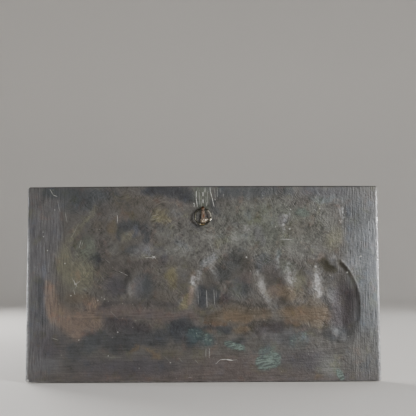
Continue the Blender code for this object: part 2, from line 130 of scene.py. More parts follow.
def jar_hollow(u, v):
    """Behind the jar: a steep curved wall on the right, steps on the left, a tongue of flat metal
    at the top and lumps at the foot."""
    inside = (1.0 - jar_radius(u, v)) * 42.0
    lower = 1.0 - smooth(32.0, 66.0, v)
    wall = smooth(0.0, 4.0 + 12.0 * lower, inside) * (0.46 + 0.54 * smooth(2.5, 20.0, inside))
    u, v = 0.6 * u + 0.4 * wander(u, v)[0], 0.6 * v + 0.4 * wander(u, v)[1]
    deep = smooth(106.0, 124.0, u) * (1.1 - 0.4 * lower) + (2.7 - 0.9 * lower) * smooth(116.0, 144.0, u - 4.0 * lower)
    steps = ledge(u, v, 114.5, 98.0, 14.0, -4.0, 4.6, 2.0, 10.0) + ledge(u, v, 127.0, 84.0, 11.0, -14.0, 6.0, 0.8, 15.0)
    tongue = dish(u, v, 129.0, 120.5, 9.0, 10.5, 1.0, 0.5, 0.4, 12.0)
    lumps = dish(u, v, 128.5, 47.0, 5.5, 6.0, 0.6, 1.0, 1.0, 0.0, 2.0) + dish(u, v, 136.0, 41.0, 6.5, 6.0, 0.9, 1.0, 1.0, 15.0, 2.0)
    return np.maximum(wall * (deep + steps) * (1.0 - tongue) - lumps, 0.0)


def hollow(u, v):
    """Depth of the back below its flat border."""
    total = jar_hollow(u, v)
    margin = smooth(9.0, 15.0, HALF - np.abs(u)) * smooth(9.0, 14.0, np.minimum(v, HEIGHT - v))
    u, v = wander(u, v)
    # the pieces that stand on the table, from the left
    total = total + dish(u, v, -88.0, 99.0, 15.0, 17.0, 0.5, 0.9, 0.5, 0.0, 2.0)
    total += dish(u, v, -60.0, 93.0, 17.0, 19.0, 1.3, 0.8, 0.95, 8.0, 2.1) + ledge(u, v, -71.0, 91.0, 9.0, 2.0, 3.0, 0.6, 9.0)
    total += dish(u, v, -33.0, 99.0, 9.5, 13.0, 0.6, 1.0, 1.0, 0.0, 2.0)
    total += dish(u, v, -18.0, 82.0, 6.5, 11.0, 0.6, 1.0, 1.0, -18.0, 2.0) + ledge(u, v, -15.5, 81.0, 10.0, 30.0, 3.2, 0.5, 8.0)
    total += pit(u, v, 1.9, [(-22.0, 66.0), (31.0, 67.0), (11.0, 109.0), (-2.0, 114.0)], [13.0, 13.0, 9.0, 11.0])
    total += ledge(u, v, -8.0, 105.0, 11.0, 11.0, 3.6, 1.2, 9.0) + ledge(u, v, 9.0, 119.5, 9.0, 28.0, 2.2, 0.6, 7.0)
    total += ledge(u, v, 10.5, 106.5, 10.0, -22.0, 3.2, 0.6, 8.0) + ledge(u, v, 23.0, 90.0, 9.0, 0.0, 2.0, 0.4, 6.0)
    total += pit(u, v, 1.4, [(-13.0, 99.0), (40.0, 97.0), (51.0, 118.0), (34.0, 130.0), (14.0, 128.0)], [14.0, 10.0, 11.0, 10.0, 10.0])
    total += dish(u, v, 38.0, 92.0, 11.0, 17.0, 0.8, 0.9, 0.9, 0.0, 2.0) + ledge(u, v, 43.0, 108.0, 7.0, -5.0, 1.6, 0.35, 4.5)
    total += pit(u, v, 1.0, [(62.0, 63.0), (92.0, 63.0), (87.0, 100.0), (67.0, 116.0), (53.0, 108.0)], [14.0, 11.0, 17.0, 16.0, 9.0])
    total += ledge(u, v, 56.5, 103.5, 6.5, -10.0, 3.4, 0.6, 6.0) + ledge(u, v, 63.0, 90.0, 10.5, -12.0, 9.0, 1.3, 14.0)
    total += ledge(u, v, 74.0, 119.0, 7.0, 0.0, 1.8, 0.4, 5.5) + ledge(u, v, 84.5, 107.0, 8.5, -3.0, 6.0, 1.0, 10.0)
    total += dish(u, v, 95.0, 101.0, 13.0, 17.0, 0.9, 0.8, 1.0, 6.0, 2.0)
    total += dish(u, v, 101.0, 82.0, 9.0, 9.0, 0.5, 0.9, 0.9, 0.0, 2.0)
    # the tall ewer
    total += dish(u, v, -129.0, 90.0, 31.0, 58.0, 1.2, 0.34, 0.8, -5.0, 2.6)
    # the long hollow behind the table's edge, and the dents below it
    along = smooth(-112.0, -98.0, u) * (1.0 - smooth(112.0, 134.0, u))
    band = 0.55 * (1.0 - smooth(69.5, 78.5, v)) * smooth(24.0, 50.0, v)
    total += band * along
    total += dish(u, v, -13.0, 48.0, 17.0, 10.5, 1.1, 0.95, 0.95, 0.0, 2.0)
    total += dish(u, v, 32.0, 44.0, 14.0, 10.0, 0.7, 0.95, 0.95, 0.0, 2.0)
    total += dish(u, v, 64.0, 51.0, 23.0, 8.0, 1.0, 0.9, 0.9, 0.0, 2.0)
    total += dish(u, v, 104.0, 46.0, 13.0, 9.0, 0.7, 0.95, 0.95, 0.0, 2.0)
    total += dish(u, v, -92.0, 45.0, 12.0, 14.0, 0.8, 0.95, 0.95, 0.0, 2.0)
    total += dish(u, v, -55.0, 46.0, 24.0, 10.0, 0.5, 0.95, 0.95, 0.0, 2.0)
    # faint hollows behind the swags, and a knock near the upper right corner
    total += dish(u, v, -69.0, 145.0, 19.0, 12.0, 0.8, 0.95, 0.95, 0.0, 2.0)
    total += dish(u, v, 100.0, 148.0, 30.0, 13.0, 0.35, 0.95, 0.95, 0.0, 2.0)
    total += ledge(u, v, 139.5, 166.5, 6.0, -3.0, 1.5, 0.6, 4.0)
    return np.maximum(total, 0.0) * margin


def turned(u, v, centre, stations, flat):
    """Relief of a turned vessel: stations are (v, radius) from foot to lip, joined by an easy
    curve, and flat is the relief's height for each millimetre of radius."""
    heights = np.array([s[0] for s in stations])
    radii = np.array([s[1] for s in stations])
    r = np.zeros(np.shape(v))
    for (v0, v1), (r0, r1) in zip(zip(heights, heights[1:]), zip(radii, radii[1:])):
        part = (v >= v0) & (v <= v1)
        r = np.where(part, r0 + (r1 - r0) * smooth(v0, v1, v), r)
    inside = np.maximum(r * r - (u - centre) ** 2, 0.0)
    return flat * np.sqrt(inside)


def ball(u, v, cu, cv, r, high, ru=None):
    q = 1.0 - ((u - cu) / (ru or r)) ** 2 - ((v - cv) / r) ** 2
    return high * np.sqrt(np.maximum(q, 0.0))


def stroke(u, v, path, radius, high):
    """A round-backed strip along a path of points."""
    best = np.full(np.shape(u), 1e9)
    for (a, b), (c, d) in zip(path, path[1:]):
        length = max((c - a) ** 2 + (d - b) ** 2, 1e-9)
        t = np.clip(((u - a) * (c - a) + (v - b) * (d - b)) / length, 0.0, 1.0)
        best = np.minimum(best, (u - a - t * (c - a)) ** 2 + (v - b - t * (d - b)) ** 2)
    return high * np.sqrt(np.maximum(1.0 - best / radius ** 2, 0.0))


def arc(cu, cv, ru, rv, start, end, count=14):
    angles = [math.radians(start + (end - start) * i / count) for i in range(count + 1)]
    return [(cu + ru * math.cos(a), cv + rv * math.sin(a)) for a in angles]


def festoon(centre, half, top, sag, count=22):
    return [(centre + half * t, top - sag * (1.0 - t * t)) for t in np.linspace(-1.0, 1.0, count + 1)]


def frame_moulding(d):
    """Height of the frame above the field at a distance d from the outline."""
    full = RIM_DEPTH - FIELD
    h = full * (1.0 - 0.45 * smooth(4.2, 6.4, d))
    h = h - (h - 0.0) * smooth(8.4, RIM_WIDTH, d)
    return h + 0.35 * np.exp(-((d - 7.6) / 0.9) ** 2)


def relief(u, v, d):
    """Height of the carving above the field."""
    h = np.zeros(np.shape(u))
    # ground, table legs, hanging cloth and table board
    h = np.maximum(h, 2.2 * smooth(GROUND + 1.2, GROUND - 1.2, v) * smooth(6.0, 9.0, d) + 0.5 * smooth(GROUND, 12.0, v))
    for leg in np.linspace(TABLE_L + 26.0, TABLE_R - 44.0, 4):
        h = np.maximum(h, turned(u, v, leg, [(27.0, 5.0), (31.0, 4.4), (35.0, 3.0), (44.0, 4.6), (53.0, 3.6)], 0.62))
    along = smooth(TABLE_L - 1.0, TABLE_L + 1.0, u) * (1.0 - smooth(TABLE_R, TABLE_R + 2.0, u))
    scallop = CLOTH_LOW + 3.2 * np.abs(np.sin((u - TABLE_L) * math.pi / 27.5)) ** 0.8
    folds = 0.45 * np.cos((u - TABLE_L) * 2.0 * math.pi / 9.2) * smooth(TABLE_TOP - 3.0, CLOTH_LOW, v)
    cloth = (3.0 + folds) * smooth(-0.9, 0.9, v - scallop) * (1.0 - smooth(TABLE_TOP - 2.0, TABLE_TOP, v))
    board = 4.3 * smooth(TABLE_TOP - 5.2, TABLE_TOP - 4.0, v) * (1.0 - smooth(TABLE_TOP, TABLE_TOP + 1.2, v))
    h = np.maximum(h, np.maximum(cloth, board) * along)
    # bread basket
    basket = 4.0 * np.sqrt(np.maximum(1.0 - ((u + 88.0) / np.maximum(12.0 + 0.25 * (v - 76.0), 4.0)) ** 2, 0.0))
    h = np.maximum(h, basket * smooth(75.5, 76.5, v) * (1.0 - smooth(87.5, 89.0, v)))
    for cu, cv, ru in ((-94.5, 90.0, 7.0), (-82.0, 90.5, 7.0), (-88.5, 94.5, 7.5)):
        h = np.maximum(h, ball(u, v, cu, cv, 4.8, 3.6, ru))
    # round jug with a handle
    h = np.maximum(h, stroke(u, v, arc(-46.5, 101.0, 7.5, 10.0, -95.0, 110.0), 1.7, 2.6))
    h = np.maximum(h, turned(u, v, -60.0, [(76.0, 8.0), (78.5, 6.5), (93.0, 15.0), (109.0, 6.0), (114.0, 5.2), (118.5, 8.2), (120.0, 8.2)], 0.34))
    # goblets
    for centre in (-33.0, 44.0):
        h = np.maximum(h, turned(u, v, centre, [(76.0, 8.0), (77.6, 7.6), (80.0, 2.0), (88.0, 1.8), (90.0, 3.2), (92.0, 2.4), (98.0, 7.6), (107.0, 8.6)], 0.42))
    # footed bowl heaped with fruit
    for row, n in enumerate((4, 3, 2, 1)):
        for i in range(n):
            h = np.maximum(h, ball(u, v, 4.0 + (i - (n - 1) / 2.0) * 11.2, 99.5 + row * 8.6, 6.3, 4.6 - 0.25 * row))
    for cu, high in ((-12.5, 3.4), (20.5, 3.6)):
        h = np.maximum(h, ball(u, v, cu, 81.5, 5.6, high))
    h = np.maximum(h, turned(u, v, 4.0, [(76.0, 12.0), (78.0, 11.5), (81.0, 3.6), (86.0, 3.6), (88.0, 15.0), (96.5, 24.0), (98.5, 25.0)], 0.205))
    # carafe
    h = np.maximum(h, stroke(u, v, arc(59.5, 106.0, 6.5, 10.5, 60.0, 255.0), 1.6, 2.8))
    h = np.maximum(h, turned(u, v, 70.0, [(76.0, 9.0), (78.0, 9.0), (90.0, 15.5), (107.0, 4.6), (119.0, 3.8), (124.0, 6.6), (125.5, 6.6)], 0.36))
    # tall ewer with a looped handle
    h = np.maximum(h, stroke(u, v, arc(-148.0, 133.0, 12.5, 28.0, 62.0, 262.0, 18), 2.3, 3.0))
    ewer = turned(u, v, EWER_U, [(30.0, 16.0), (33.0, 15.0), (37.0, 7.0), (44.0, 8.5), (76.0, EWER_R), (112.0, 9.5), (124.0, 6.5), (150.0, 6.8), (162.0, 13.5), (164.5, 13.5)], 0.235)
    h = np.maximum(h, ewer)
    # storage jar with two ears
    for side in (-1.0, 1.0):
        h = np.maximum(h, stroke(u, v, arc(JAR_U + side * 21.0, 118.0, 8.0, 9.0, 90.0 - side * 120.0, 90.0 + side * 80.0), 2.4, 3.4))
    body = 7.6 * np.sqrt(np.maximum(1.0 - jar_radius(u, v) ** 2, 0.0))
    neck = turned(u, v, JAR_U, [(114.0, 15.5), (128.0, 12.5), (134.0, 17.5), (137.5, 17.5)], 0.27)
    foot = turned(u, v, JAR_U, [(12.0, 18.0), (16.0, 16.5), (28.0, 16.5)], 0.3)
    h = np.maximum(h, np.maximum(np.maximum(body, neck), foot))
    # vine hung in three swags, with bunches of grapes where it is tied up
    for centre in (-104.0, 0.0, 104.0):
        h = np.maximum(h, stroke(u, v, festoon(centre, 50.0, 177.0, 15.0), 3.4, 1.9))
    for centre in (-52.0, 52.0):
        for row, n in enumerate((4, 3, 2, 1)):
            for i in range(n):
                h = np.maximum(h, ball(u, v, centre + (i - (n - 1) / 2.0) * 5.6, 168.0 - row * 4.9, 3.2, 2.4))
    return h


def outline(a, b):
    """Lattice point (a, b) moved into the plate's true outline: edges slightly bowed, corners round."""
    cu, cv = np.abs(a) - (HALF - CORNER_R), np.abs(b - HEIGHT / 2) - (HEIGHT / 2 - CORNER_R)
    corner = (cu > 0) & (cv > 0)
    reach = np.maximum(cu, cv) / np.maximum(np.hypot(cu, cv), 1e-9)
    u = np.where(corner, np.sign(a) * (HALF - CORNER_R + cu * reach), a)
    v = np.where(corner, HEIGHT / 2 + np.sign(b - HEIGHT / 2) * (HEIGHT / 2 - CORNER_R + cv * reach), b)
    share = (v - HEIGHT / 2) / (HEIGHT / 2)
    return u, v - BOW * share * (u / HALF) ** 2


def edge_distance(a, b):
    return np.minimum(HALF - np.abs(a), np.minimum(b, HEIGHT - b))


def rounding(d):
    """How far the surface has fallen back at a distance d from the outline."""
    t = np.clip(EDGE_R - d, 0.0, EDGE_R)
    return EDGE_R - np.sqrt(np.maximum(EDGE_R ** 2 - t * t, 0.0))


# ---------------------------------------------------------------- the fine surfaces
FINE = 0.45          # spacing of the grid on which heights are worked out
MESH = 0.85          # spacing of the plate's visible mesh
POINTED = 5          # lobes of a vine leaf


def noise(u, v, size, seed):
    """Smooth noise between -1 and 1, with bumps about size across."""
    table = np.random.RandomState(seed).uniform(-1.0, 1.0, (64, 64))
    x, y = np.asarray(u) / size + 500.0, np.asarray(v) / size + 500.0
    i, j = np.floor(x).astype(int), np.floor(y).astype(int)
    fx, fy = x - i, y - j
    fx, fy = fx * fx * (3.0 - 2.0 * fx), fy * fy * (3.0 - 2.0 * fy)
    at = lambda di, dj: table[(i + di) % 64, (j + dj) % 64]
    return (at(0, 0) * (1 - fx) + at(1, 0) * fx) * (1 - fy) + (at(0, 1) * (1 - fx) + at(1, 1) * fx) * fy


def soften(h, cells):
    """Gaussian blur over a grid, cells wide."""
    reach = max(1, int(math.ceil(2.6 * cells)))
    taps = np.exp(-0.5 * (np.arange(-reach, reach + 1) / cells) ** 2)
    taps /= taps.sum()
    for axis in (0, 1):
        padded = np.pad(h, [(reach, reach) if k == axis else (0, 0) for k in (0, 1)], mode="edge")
        h = sum(w * np.take(padded, np.arange(s, s + h.shape[axis]), axis=axis) for s, w in enumerate(taps))
    return h


GRID_U = np.arange(-HALF - 1.8, HALF + 1.8 + FINE, FINE)
GRID_V = np.arange(-1.8, HEIGHT + 1.8 + FINE, FINE)


def read(h, u, v):
    """Value of a gridded field at any points, by linear interpolation."""
    x = np.clip((u - GRID_U[0]) / FINE, 0, len(GRID_U) - 1.001)
    y = np.clip((v - GRID_V[0]) / FINE, 0, len(GRID_V) - 1.001)
    i, j = x.astype(int), y.astype(int)
    fx, fy = x - i, y - j
    return (h[j, i] * (1 - fx) + h[j, i + 1] * fx) * (1 - fy) + (h[j + 1, i] * (1 - fx) + h[j + 1, i + 1] * fx) * fy


def groove(distance, width):
    return np.exp(-(distance / width) ** 2)


def vine_leaf(u, v, cu, cv, size, turn, high):
    """A lobed leaf with its veins cut in, and its height."""
    near = (np.abs(u - cu) < size * 1.2) & (np.abs(v - cv) < size * 1.2)
    h = np.zeros(np.shape(u))
    x, y = u[near] - cu, v[near] - cv
    r, t = np.hypot(x, y), np.arctan2(y, x) - math.radians(turn)
    edge = size * (0.60 + 0.40 * np.abs(np.cos(POINTED / 2.0 * t)) ** 0.8) * (0.86 + 0.14 * np.cos(t))
    q = r / edge
    dome = high * np.clip(1.0 - q ** 3, 0.0, 1.0) ** 0.55 * (0.75 + 0.25 * np.cos(POINTED * t))
    for k in range(POINTED):
        away = t - 2.0 * math.pi * k / POINTED
        side = np.abs(r * np.sin(away)) + 9.0 * (np.cos(away) < 0)
        dome = dome - 0.45 * groove(side, 0.55) * (q < 0.9)
    h[near] = np.where(q < 1.0, np.maximum(dome, 0.35), 0.0)
    return h


def jar_bands(u, v):
    """Turned lines, a rope band, a running wave and gadroons on the storage jar."""
    e = jar_radius(u, v)
    r = JAR_RU * np.sqrt(np.maximum(1.0 - ((v - JAR_V) / JAR_RV) ** 2, 0.02))
    x = np.clip((u - JAR_U) / r, -1.0, 1.0)
    theta, w = np.arcsin(x), v - 4.0 * (1.0 - np.sqrt(1.0 - x * x))
    on = smooth(1.0, 0.93, e)
    h = 0.95 * np.sqrt(np.maximum(1.0 - ((w - 98.0) / 1.9) ** 2, 0.0)) * (0.72 + 0.28 * np.sin(theta * 34.0 + w * 1.6))
    for line in (103.5, 92.5, 79.0, 61.5):
        h = h + 0.42 * groove(w - line, 0.8)
    h = h + 0.5 * groove(w - 85.7 - 2.7 * np.sin(theta * 11.0), 1.15)
    lower = smooth(60.0, 55.0, w) * smooth(22.0, 30.0, v)
    h = h + 0.75 * lower * (np.abs(np.cos(theta * 9.0)) ** 0.6 - 0.5)
    petals = 0.6 + 0.4 * np.abs(np.cos(4.0 * np.arctan2(w - 70.2, (u - JAR_U))))
    d = np.hypot(u - JAR_U, w - 70.2)
    h = h + 0.7 * np.sqrt(np.maximum(1.0 - (d / (6.4 * petals)) ** 2, 0.0)) - 0.4 * groove(d - 2.0, 0.6)
    return h * on


def ewer_bands(u, v):
    x = np.clip((u - EWER_U) / EWER_R, -1.0, 1.0)
    w = v - 3.0 * (1.0 - np.sqrt(1.0 - x * x))
    theta = np.arcsin(x)
    h = 0.0
    for line in (40.5, 87.0, 91.5, 117.5, 121.5, 147.0, 151.0):
        h = h + 0.45 * groove(w - line, 0.8)
    h = h + 0.7 * smooth(73.0, 69.0, w) * smooth(44.0, 50.0, w) * (np.abs(np.cos(theta * 8.0)) ** 0.6 - 0.5)
    h = h + 0.5 * groove(w - 80.0 - 2.2 * np.sign(np.sin(theta * 10.0)) * (np.abs(np.sin(theta * 10.0))), 1.0)
    return h


def carving(u, v):
    """The whole carving above the field: the solid's forms with their ornament."""
    d = np.minimum(HALF - np.abs(u), np.minimum(v, HEIGHT - v))
    base = relief(u, v, d)
    h = base.copy()
    # flagged ground
    floor = (v < GROUND) & (base < 3.2)
    for line in (13.5, 21.0):
        h = h - 0.5 * groove(v - line, 0.6) * floor
    slant = (u * (150.0 - v)) / (150.0 - 10.0)
    h = h - 0.5 * groove((slant + 500.0 + 11.0 * (v > 21.0) - 9.0 * (v < 13.5)) % 24.0 - 12.0, 0.6) * floor
    # cloth: woven border and fringe, then the table board's lines
    on_cloth = (base > 2.0) & (base < 3.7) & (v > CLOTH_LOW - 1.0) & (v < TABLE_TOP - 5.0) & (u > TABLE_L) & (u < TABLE_R - 24.0)
    wave = np.abs(((u + 500.0) % 5.2) - 2.6) * 1.2
    h = h + on_cloth * 0.35 * (groove(v - 62.2, 0.55) + groove(v - 67.8, 0.55) + groove(v - 63.4 - wave, 0.6))
    h = h + on_cloth * 0.22 * np.cos(u * 2.0 * math.pi / 2.6) * smooth(58.0, 56.0, v)
    board = (v > TABLE_TOP - 5.2) & (v < TABLE_TOP + 1.0) & (u > TABLE_L) & (u < TABLE_R) & (base < 4.5)
    h = h - 0.5 * board * groove(v - 73.4, 0.5)
    # basket weave and scored loaves
    basket = (np.abs(u + 88.0) < 14.5) & (v > 76.0) & (v < 88.6)
    h = h + basket * 0.45 * np.sin(math.pi * u / 2.7) * np.sin(math.pi * v / 1.9)
    for cu, cv in ((-94.5, 90.0), (-82.0, 90.5), (-88.5, 94.5)):
        for k in (-1, 0, 1):
            inside = ((u - cu) / 6.0) ** 2 + ((v - cv) / 4.0) ** 2 < 1.0
            h = h - 0.5 * inside * (v > 89.0) * groove((u - cu) + 0.35 * (v - cv) - 3.2 * k, 0.5)
    # turned lines on the jug, carafe, goblets and bowl
    for cu, half, lines in ((-60.0, 14.0, (84.5, 99.0, 102.0, 112.0)), (70.0, 15.0, (84.0, 97.0, 100.0, 118.0)),
                            (-33.0, 8.5, (95.0, 104.5)), (44.0, 8.5, (95.0, 104.5)), (4.0, 24.0, (97.0,))):
        near = (np.abs(u - cu) < half) & (base > 1.0)
        for line in lines:
            h = h + near * 0.42 * groove(v - line, 0.75)
    near = (np.abs(u - 4.0) < 24.0) & (v > 86.5) & (v < 95.5) & (base > 1.0)
    h = h + near * 0.5 * (np.abs(np.cos((u - 4.0) / (6.0 + 0.9 * (v - 86.0)) * 3.6)) - 0.6)
    near = (np.abs(u - 70.0) < 15.5) & (v > 78.0) & (v < 95.0) & (base > 1.0)
    h = h + near * 0.45 * (np.abs(np.cos((u - 70.0) / 15.5 * 6.0)) - 0.6) * smooth(78.0, 80.5, v)
    # calyxes on the fruit
    for row, n in enumerate((4, 3, 2, 1)):
        for i in range(n):
            cu, cv = 4.0 + (i - (n - 1) / 2.0) * 11.2, 99.5 + row * 8.6
            side = 1.4 if (i + row) % 2 else -1.4
            r = np.hypot(u - cu - side, v - cv - 1.6)
            h = h - 1.0 * groove(r, 1.0) + 0.35 * groove(r - 1.9, 0.7)
    # the swags: a twisted stem, leaves to either side, tendrils and ties
    twist = 0.28 * np.sin((u * 1.0 + v * 1.9) * 2.0 * math.pi / 4.6)
    for centre in (-104.0, 0.0, 104.0):
        vine = stroke(u, v, festoon(centre, 50.0, 177.0, 15.0), 3.4, 1.9)
        h = np.where((vine > 0.8) & (base <= vine + 0.01), np.maximum(h + twist, 0.0), h)
        for k in range(11):
            t = -0.9 + 0.18 * k
            cu, cv = centre + 50.0 * t, 177.0 - 15.0 * (1.0 - t * t)
            up = 1.0 if k % 2 else -1.0
            lean = 90.0 * up + 22.0 * math.sin(3.1 * k + centre)
            size = 7.4 + 1.1 * math.sin(2.3 * k + 0.1 * centre)
            h = np.maximum(h, vine_leaf(u, v, cu + 1.2 * math.cos(lean), cv + up * 5.6, size, lean, 2.3 + 0.2 * math.sin(5.0 * k)) * (h < 3.6))
    for centre in (-52.0, 52.0):
        for side in (-1.0, 1.0):
            h = np.maximum(h, vine_leaf(u, v, centre + side * 9.5, 176.0, 8.6, 90.0 - side * 62.0, 2.7))
        h = np.maximum(h, stroke(u, v, arc(centre, 150.0, 3.0, 4.5, 90.0, -190.0, 10), 0.8, 0.9))
    # jar and ewer
    on_jar = (jar_radius(u, v) < 1.0) & (base > 2.4)
    h = h + on_jar * jar_bands(u, v)
    on_ewer = (np.abs(u - EWER_U) < EWER_R + 1.0) & (base > 0.9) & (v > 34.0) & (v < 163.0) & (u > EWER_U - 26.5)
    h = h + on_ewer * ewer_bands(u, v)
    # a field left from the chaser's punch
    field = smooth(0.6, 0.1, h)
    return h + field * (0.10 * noise(u, v, 2.1, 3) + 0.08 * noise(u, v, 5.0, 4))


def beading(a, b):
    """Small beads along the inside of the frame."""
    d = edge_distance(a, b)
    along = np.where(np.minimum(b, HEIGHT - b) < HALF - np.abs(a), a, b - HEIGHT / 2)
    step = (along + 400.0) % 4.8 - 2.4
    return 0.85 * np.sqrt(np.maximum(1.0 - (step / 1.9) ** 2 - ((d - 7.5) / 1.6) ** 2, 0.0))


FINE_LINES = {}


def strokes(u, v, angle, across, along, seed):
    """Noise drawn out into strokes that run at an angle from upright."""
    c, s = math.cos(math.radians(angle)), math.sin(math.radians(angle))
    return noise((u * c - v * s), (u * s + v * c) * across / along, across, seed)


def fine_fields():
    """Heights worked out once on the close grid."""
    u, v = np.meshgrid(GRID_U, GRID_V)
    cut = carving(u, v)
    FINE_LINES["carving"] = soften(cut, 1.05)
    FINE_LINES["carving_wide"] = soften(FINE_LINES["carving"], 6.5)
    inner = smooth(9.0, 24.0, HALF - np.abs(u)) * smooth(18.0, 34.0, v) * smooth(20.0, 42.0, HEIGHT - v)
    back = hollow(u, v)
    waves = 0.20 * (noise(u, v, 34.0, 11) + 1.0) + 0.13 * (noise(u, v, 13.0, 12) + 1.0) + 0.06 * (noise(u, v, 7.0, 15) + 1.0)
    # tool marks: crossed strokes in the middle, upright ones at the sides, level ones low down
    lay = smooth(-0.25, 0.25, noise(u, v, 26.0, 16))
    crossed = lay * strokes(u, v, 32.0, 1.9, 8.0, 17) + (1.0 - lay) * strokes(u, v, -38.0, 1.8, 7.0, 18)
    stray = 1.5 * noise(u, v, 21.0, 21)
    upright = strokes(u + stray, v, 1.5, 1.5, 15.0, 19)
    level = strokes(u, v + stray, 89.0, 1.5, 15.0, 20)
    side, low = smooth(30.0, 16.0, HALF - np.abs(u)), np.maximum(smooth(40.0, 26.0, v), smooth(9.0, 3.0, np.abs(v - 65.0)))
    marks = 0.020 * side * upright + (1.0 - side) * (0.018 * low * level + (1.0 - low) * (0.020 + 0.042 * inner) * crossed)
    grain = marks + (0.4 + 0.6 * inner) * (0.040 * noise(u, v, 4.2, 13) + 0.030 * noise(u, v, 1.9, 14))
    back = soften(back + inner * waves, 1.2) + grain + 0.05
    FINE_LINES["hollow"] = np.maximum(back, 0.0)
    FINE_LINES["hollow_wide"] = soften(FINE_LINES["hollow"], 6.0)


def fine_back(a, b):
    u, v = outline(a, b)
    d = edge_distance(a, b)
    return -(read(FINE_LINES["hollow"], u, v) * smooth(0.0, 1.5, d) + rounding(d))


def fine_front(a, b):
    u, v = outline(a, b)
    d = edge_distance(a, b)
    rise = np.maximum(frame_moulding(d) + beading(a, b), read(FINE_LINES["carving"], u, v) * smooth(RIM_WIDTH - 3.0, RIM_WIDTH + 1.0, d))
    metal = blend_max(FIELD + rise, read(FINE_LINES["hollow"], u, v) + MIN_WALL, 0.8)
    metal = np.where(metal > 9.3, 9.3 + (metal - 9.3) * 0.68, metal)
    return -(metal - rounding(d))


def fine_lattice(length):
    edge = [EDGE_R * (1.0 - math.sin(math.radians(w))) for w in (90.0, 65.0, 40.0, 18.0)]
    count = int(round((length - 2.0 * EDGE_R) / MESH))
    middle = [EDGE_R + (length - 2.0 * EDGE_R) * i / count for i in range(count + 1)]
    return np.array(edge + middle + [length - e for e in reversed(edge)])


def mesh_from(name, points, quads):
    mesh = bpy.data.meshes.new(name)
    mesh.vertices.add(len(points))
    mesh.vertices.foreach_set("co", np.asarray(points, np.float32).ravel())
    quads = np.asarray(quads, np.int32)
    mesh.loops.add(quads.size)
    mesh.loops.foreach_set("vertex_index", quads.ravel())
    mesh.polygons.add(len(quads))
    mesh.polygons.foreach_set("loop_start", np.arange(0, quads.size, 4, dtype=np.int32))
    mesh.update(calc_edges=True)
    mesh.validate()
    mesh.shade_smooth()
    return mesh


def plate_skins():
    """The plate's surface as two skins, back and front, that meet along the middle of its sides."""
    la, lb = fine_lattice(WIDTH) - HALF, fine_lattice(HEIGHT)
    a, b = np.meshgrid(la, lb)
    u, v = outline(a, b)
    na, nb = len(la), len(lb)
    sheets = [np.dstack([-u, y, v - HANG_V]).reshape(-1, 3) for y in (fine_back(a, b), fine_front(a, b))]
    index = np.arange(na * nb).reshape(nb, na)
    p, q, r, s = index[:-1, :-1].ravel(), index[:-1, 1:].ravel(), index[1:, 1:].ravel(), index[1:, :-1].ravel()
    loop = np.concatenate([index[0, :-1], index[:-1, -1], index[-1, :0:-1], index[:0:-1, 0]])
    seam = sheets[0][loop] * 0.55 + sheets[1][loop] * 0.45
    rim = np.arange(len(loop)) + na * nb
    step = np.roll(np.arange(len(loop)), -1)
    back = [np.column_stack([p, q, r, s]), np.column_stack([loop, rim, rim[step], loop[step]])]
    front = [np.column_stack([s, r, q, p]), np.column_stack([rim, loop, loop[step], rim[step]])]
    skins = []
    for name, sheet, quads in (("plate_back", sheets[0], back), ("plate_front", sheets[1], front)):
        skins.append(mesh_from(name, np.concatenate([sheet, seam]) * MM, np.concatenate(quads)))
    return skins, a, b, u, v, loop


# ---------------------------------------------------------------- patina
def linear(rgb):
    c = np.asarray(rgb, float) / 255.0
    return np.where(c <= 0.04045, c / 12.92, ((c + 0.055) / 1.055) ** 2.4)


# The patina's tones, and two pale ones for painted sheen and highlight, before the wax deepens them
TONES = {
    "steel": (95, 94, 95), "steel sheen": (98, 100, 101), "slate": (80, 82, 83), "ink": (70, 72, 75), "navy": (64, 66, 71),
    "blue grey": (88, 90, 96), "warm grey": (96, 94, 90), "stone": (100, 99, 95), "pale": (107, 107, 103),
    "umber": (90, 86, 80), "brown grey": (85, 81, 78), "dark umber": (76, 72, 68), "olive": (104, 102, 90),
    "sage": (93, 96, 88), "straw": (108, 103, 82), "ochre": (110, 97, 78), "copper": (107, 97, 89), "rose": (96, 89, 86),
    "rust": (100, 82, 64), "mauve": (85, 82, 84), "plum": (75, 70, 72), "black": (40, 39, 40), "bronze": (95, 88, 78),
    "moss": (62, 58, 42), "teal grey": (96, 102, 103), "grey": (88, 88, 89), "dark grey": (73, 74, 73), "teal": (76, 85, 86),
    "bright sheen": (120, 122, 124), "tan": (105, 91, 74),
}
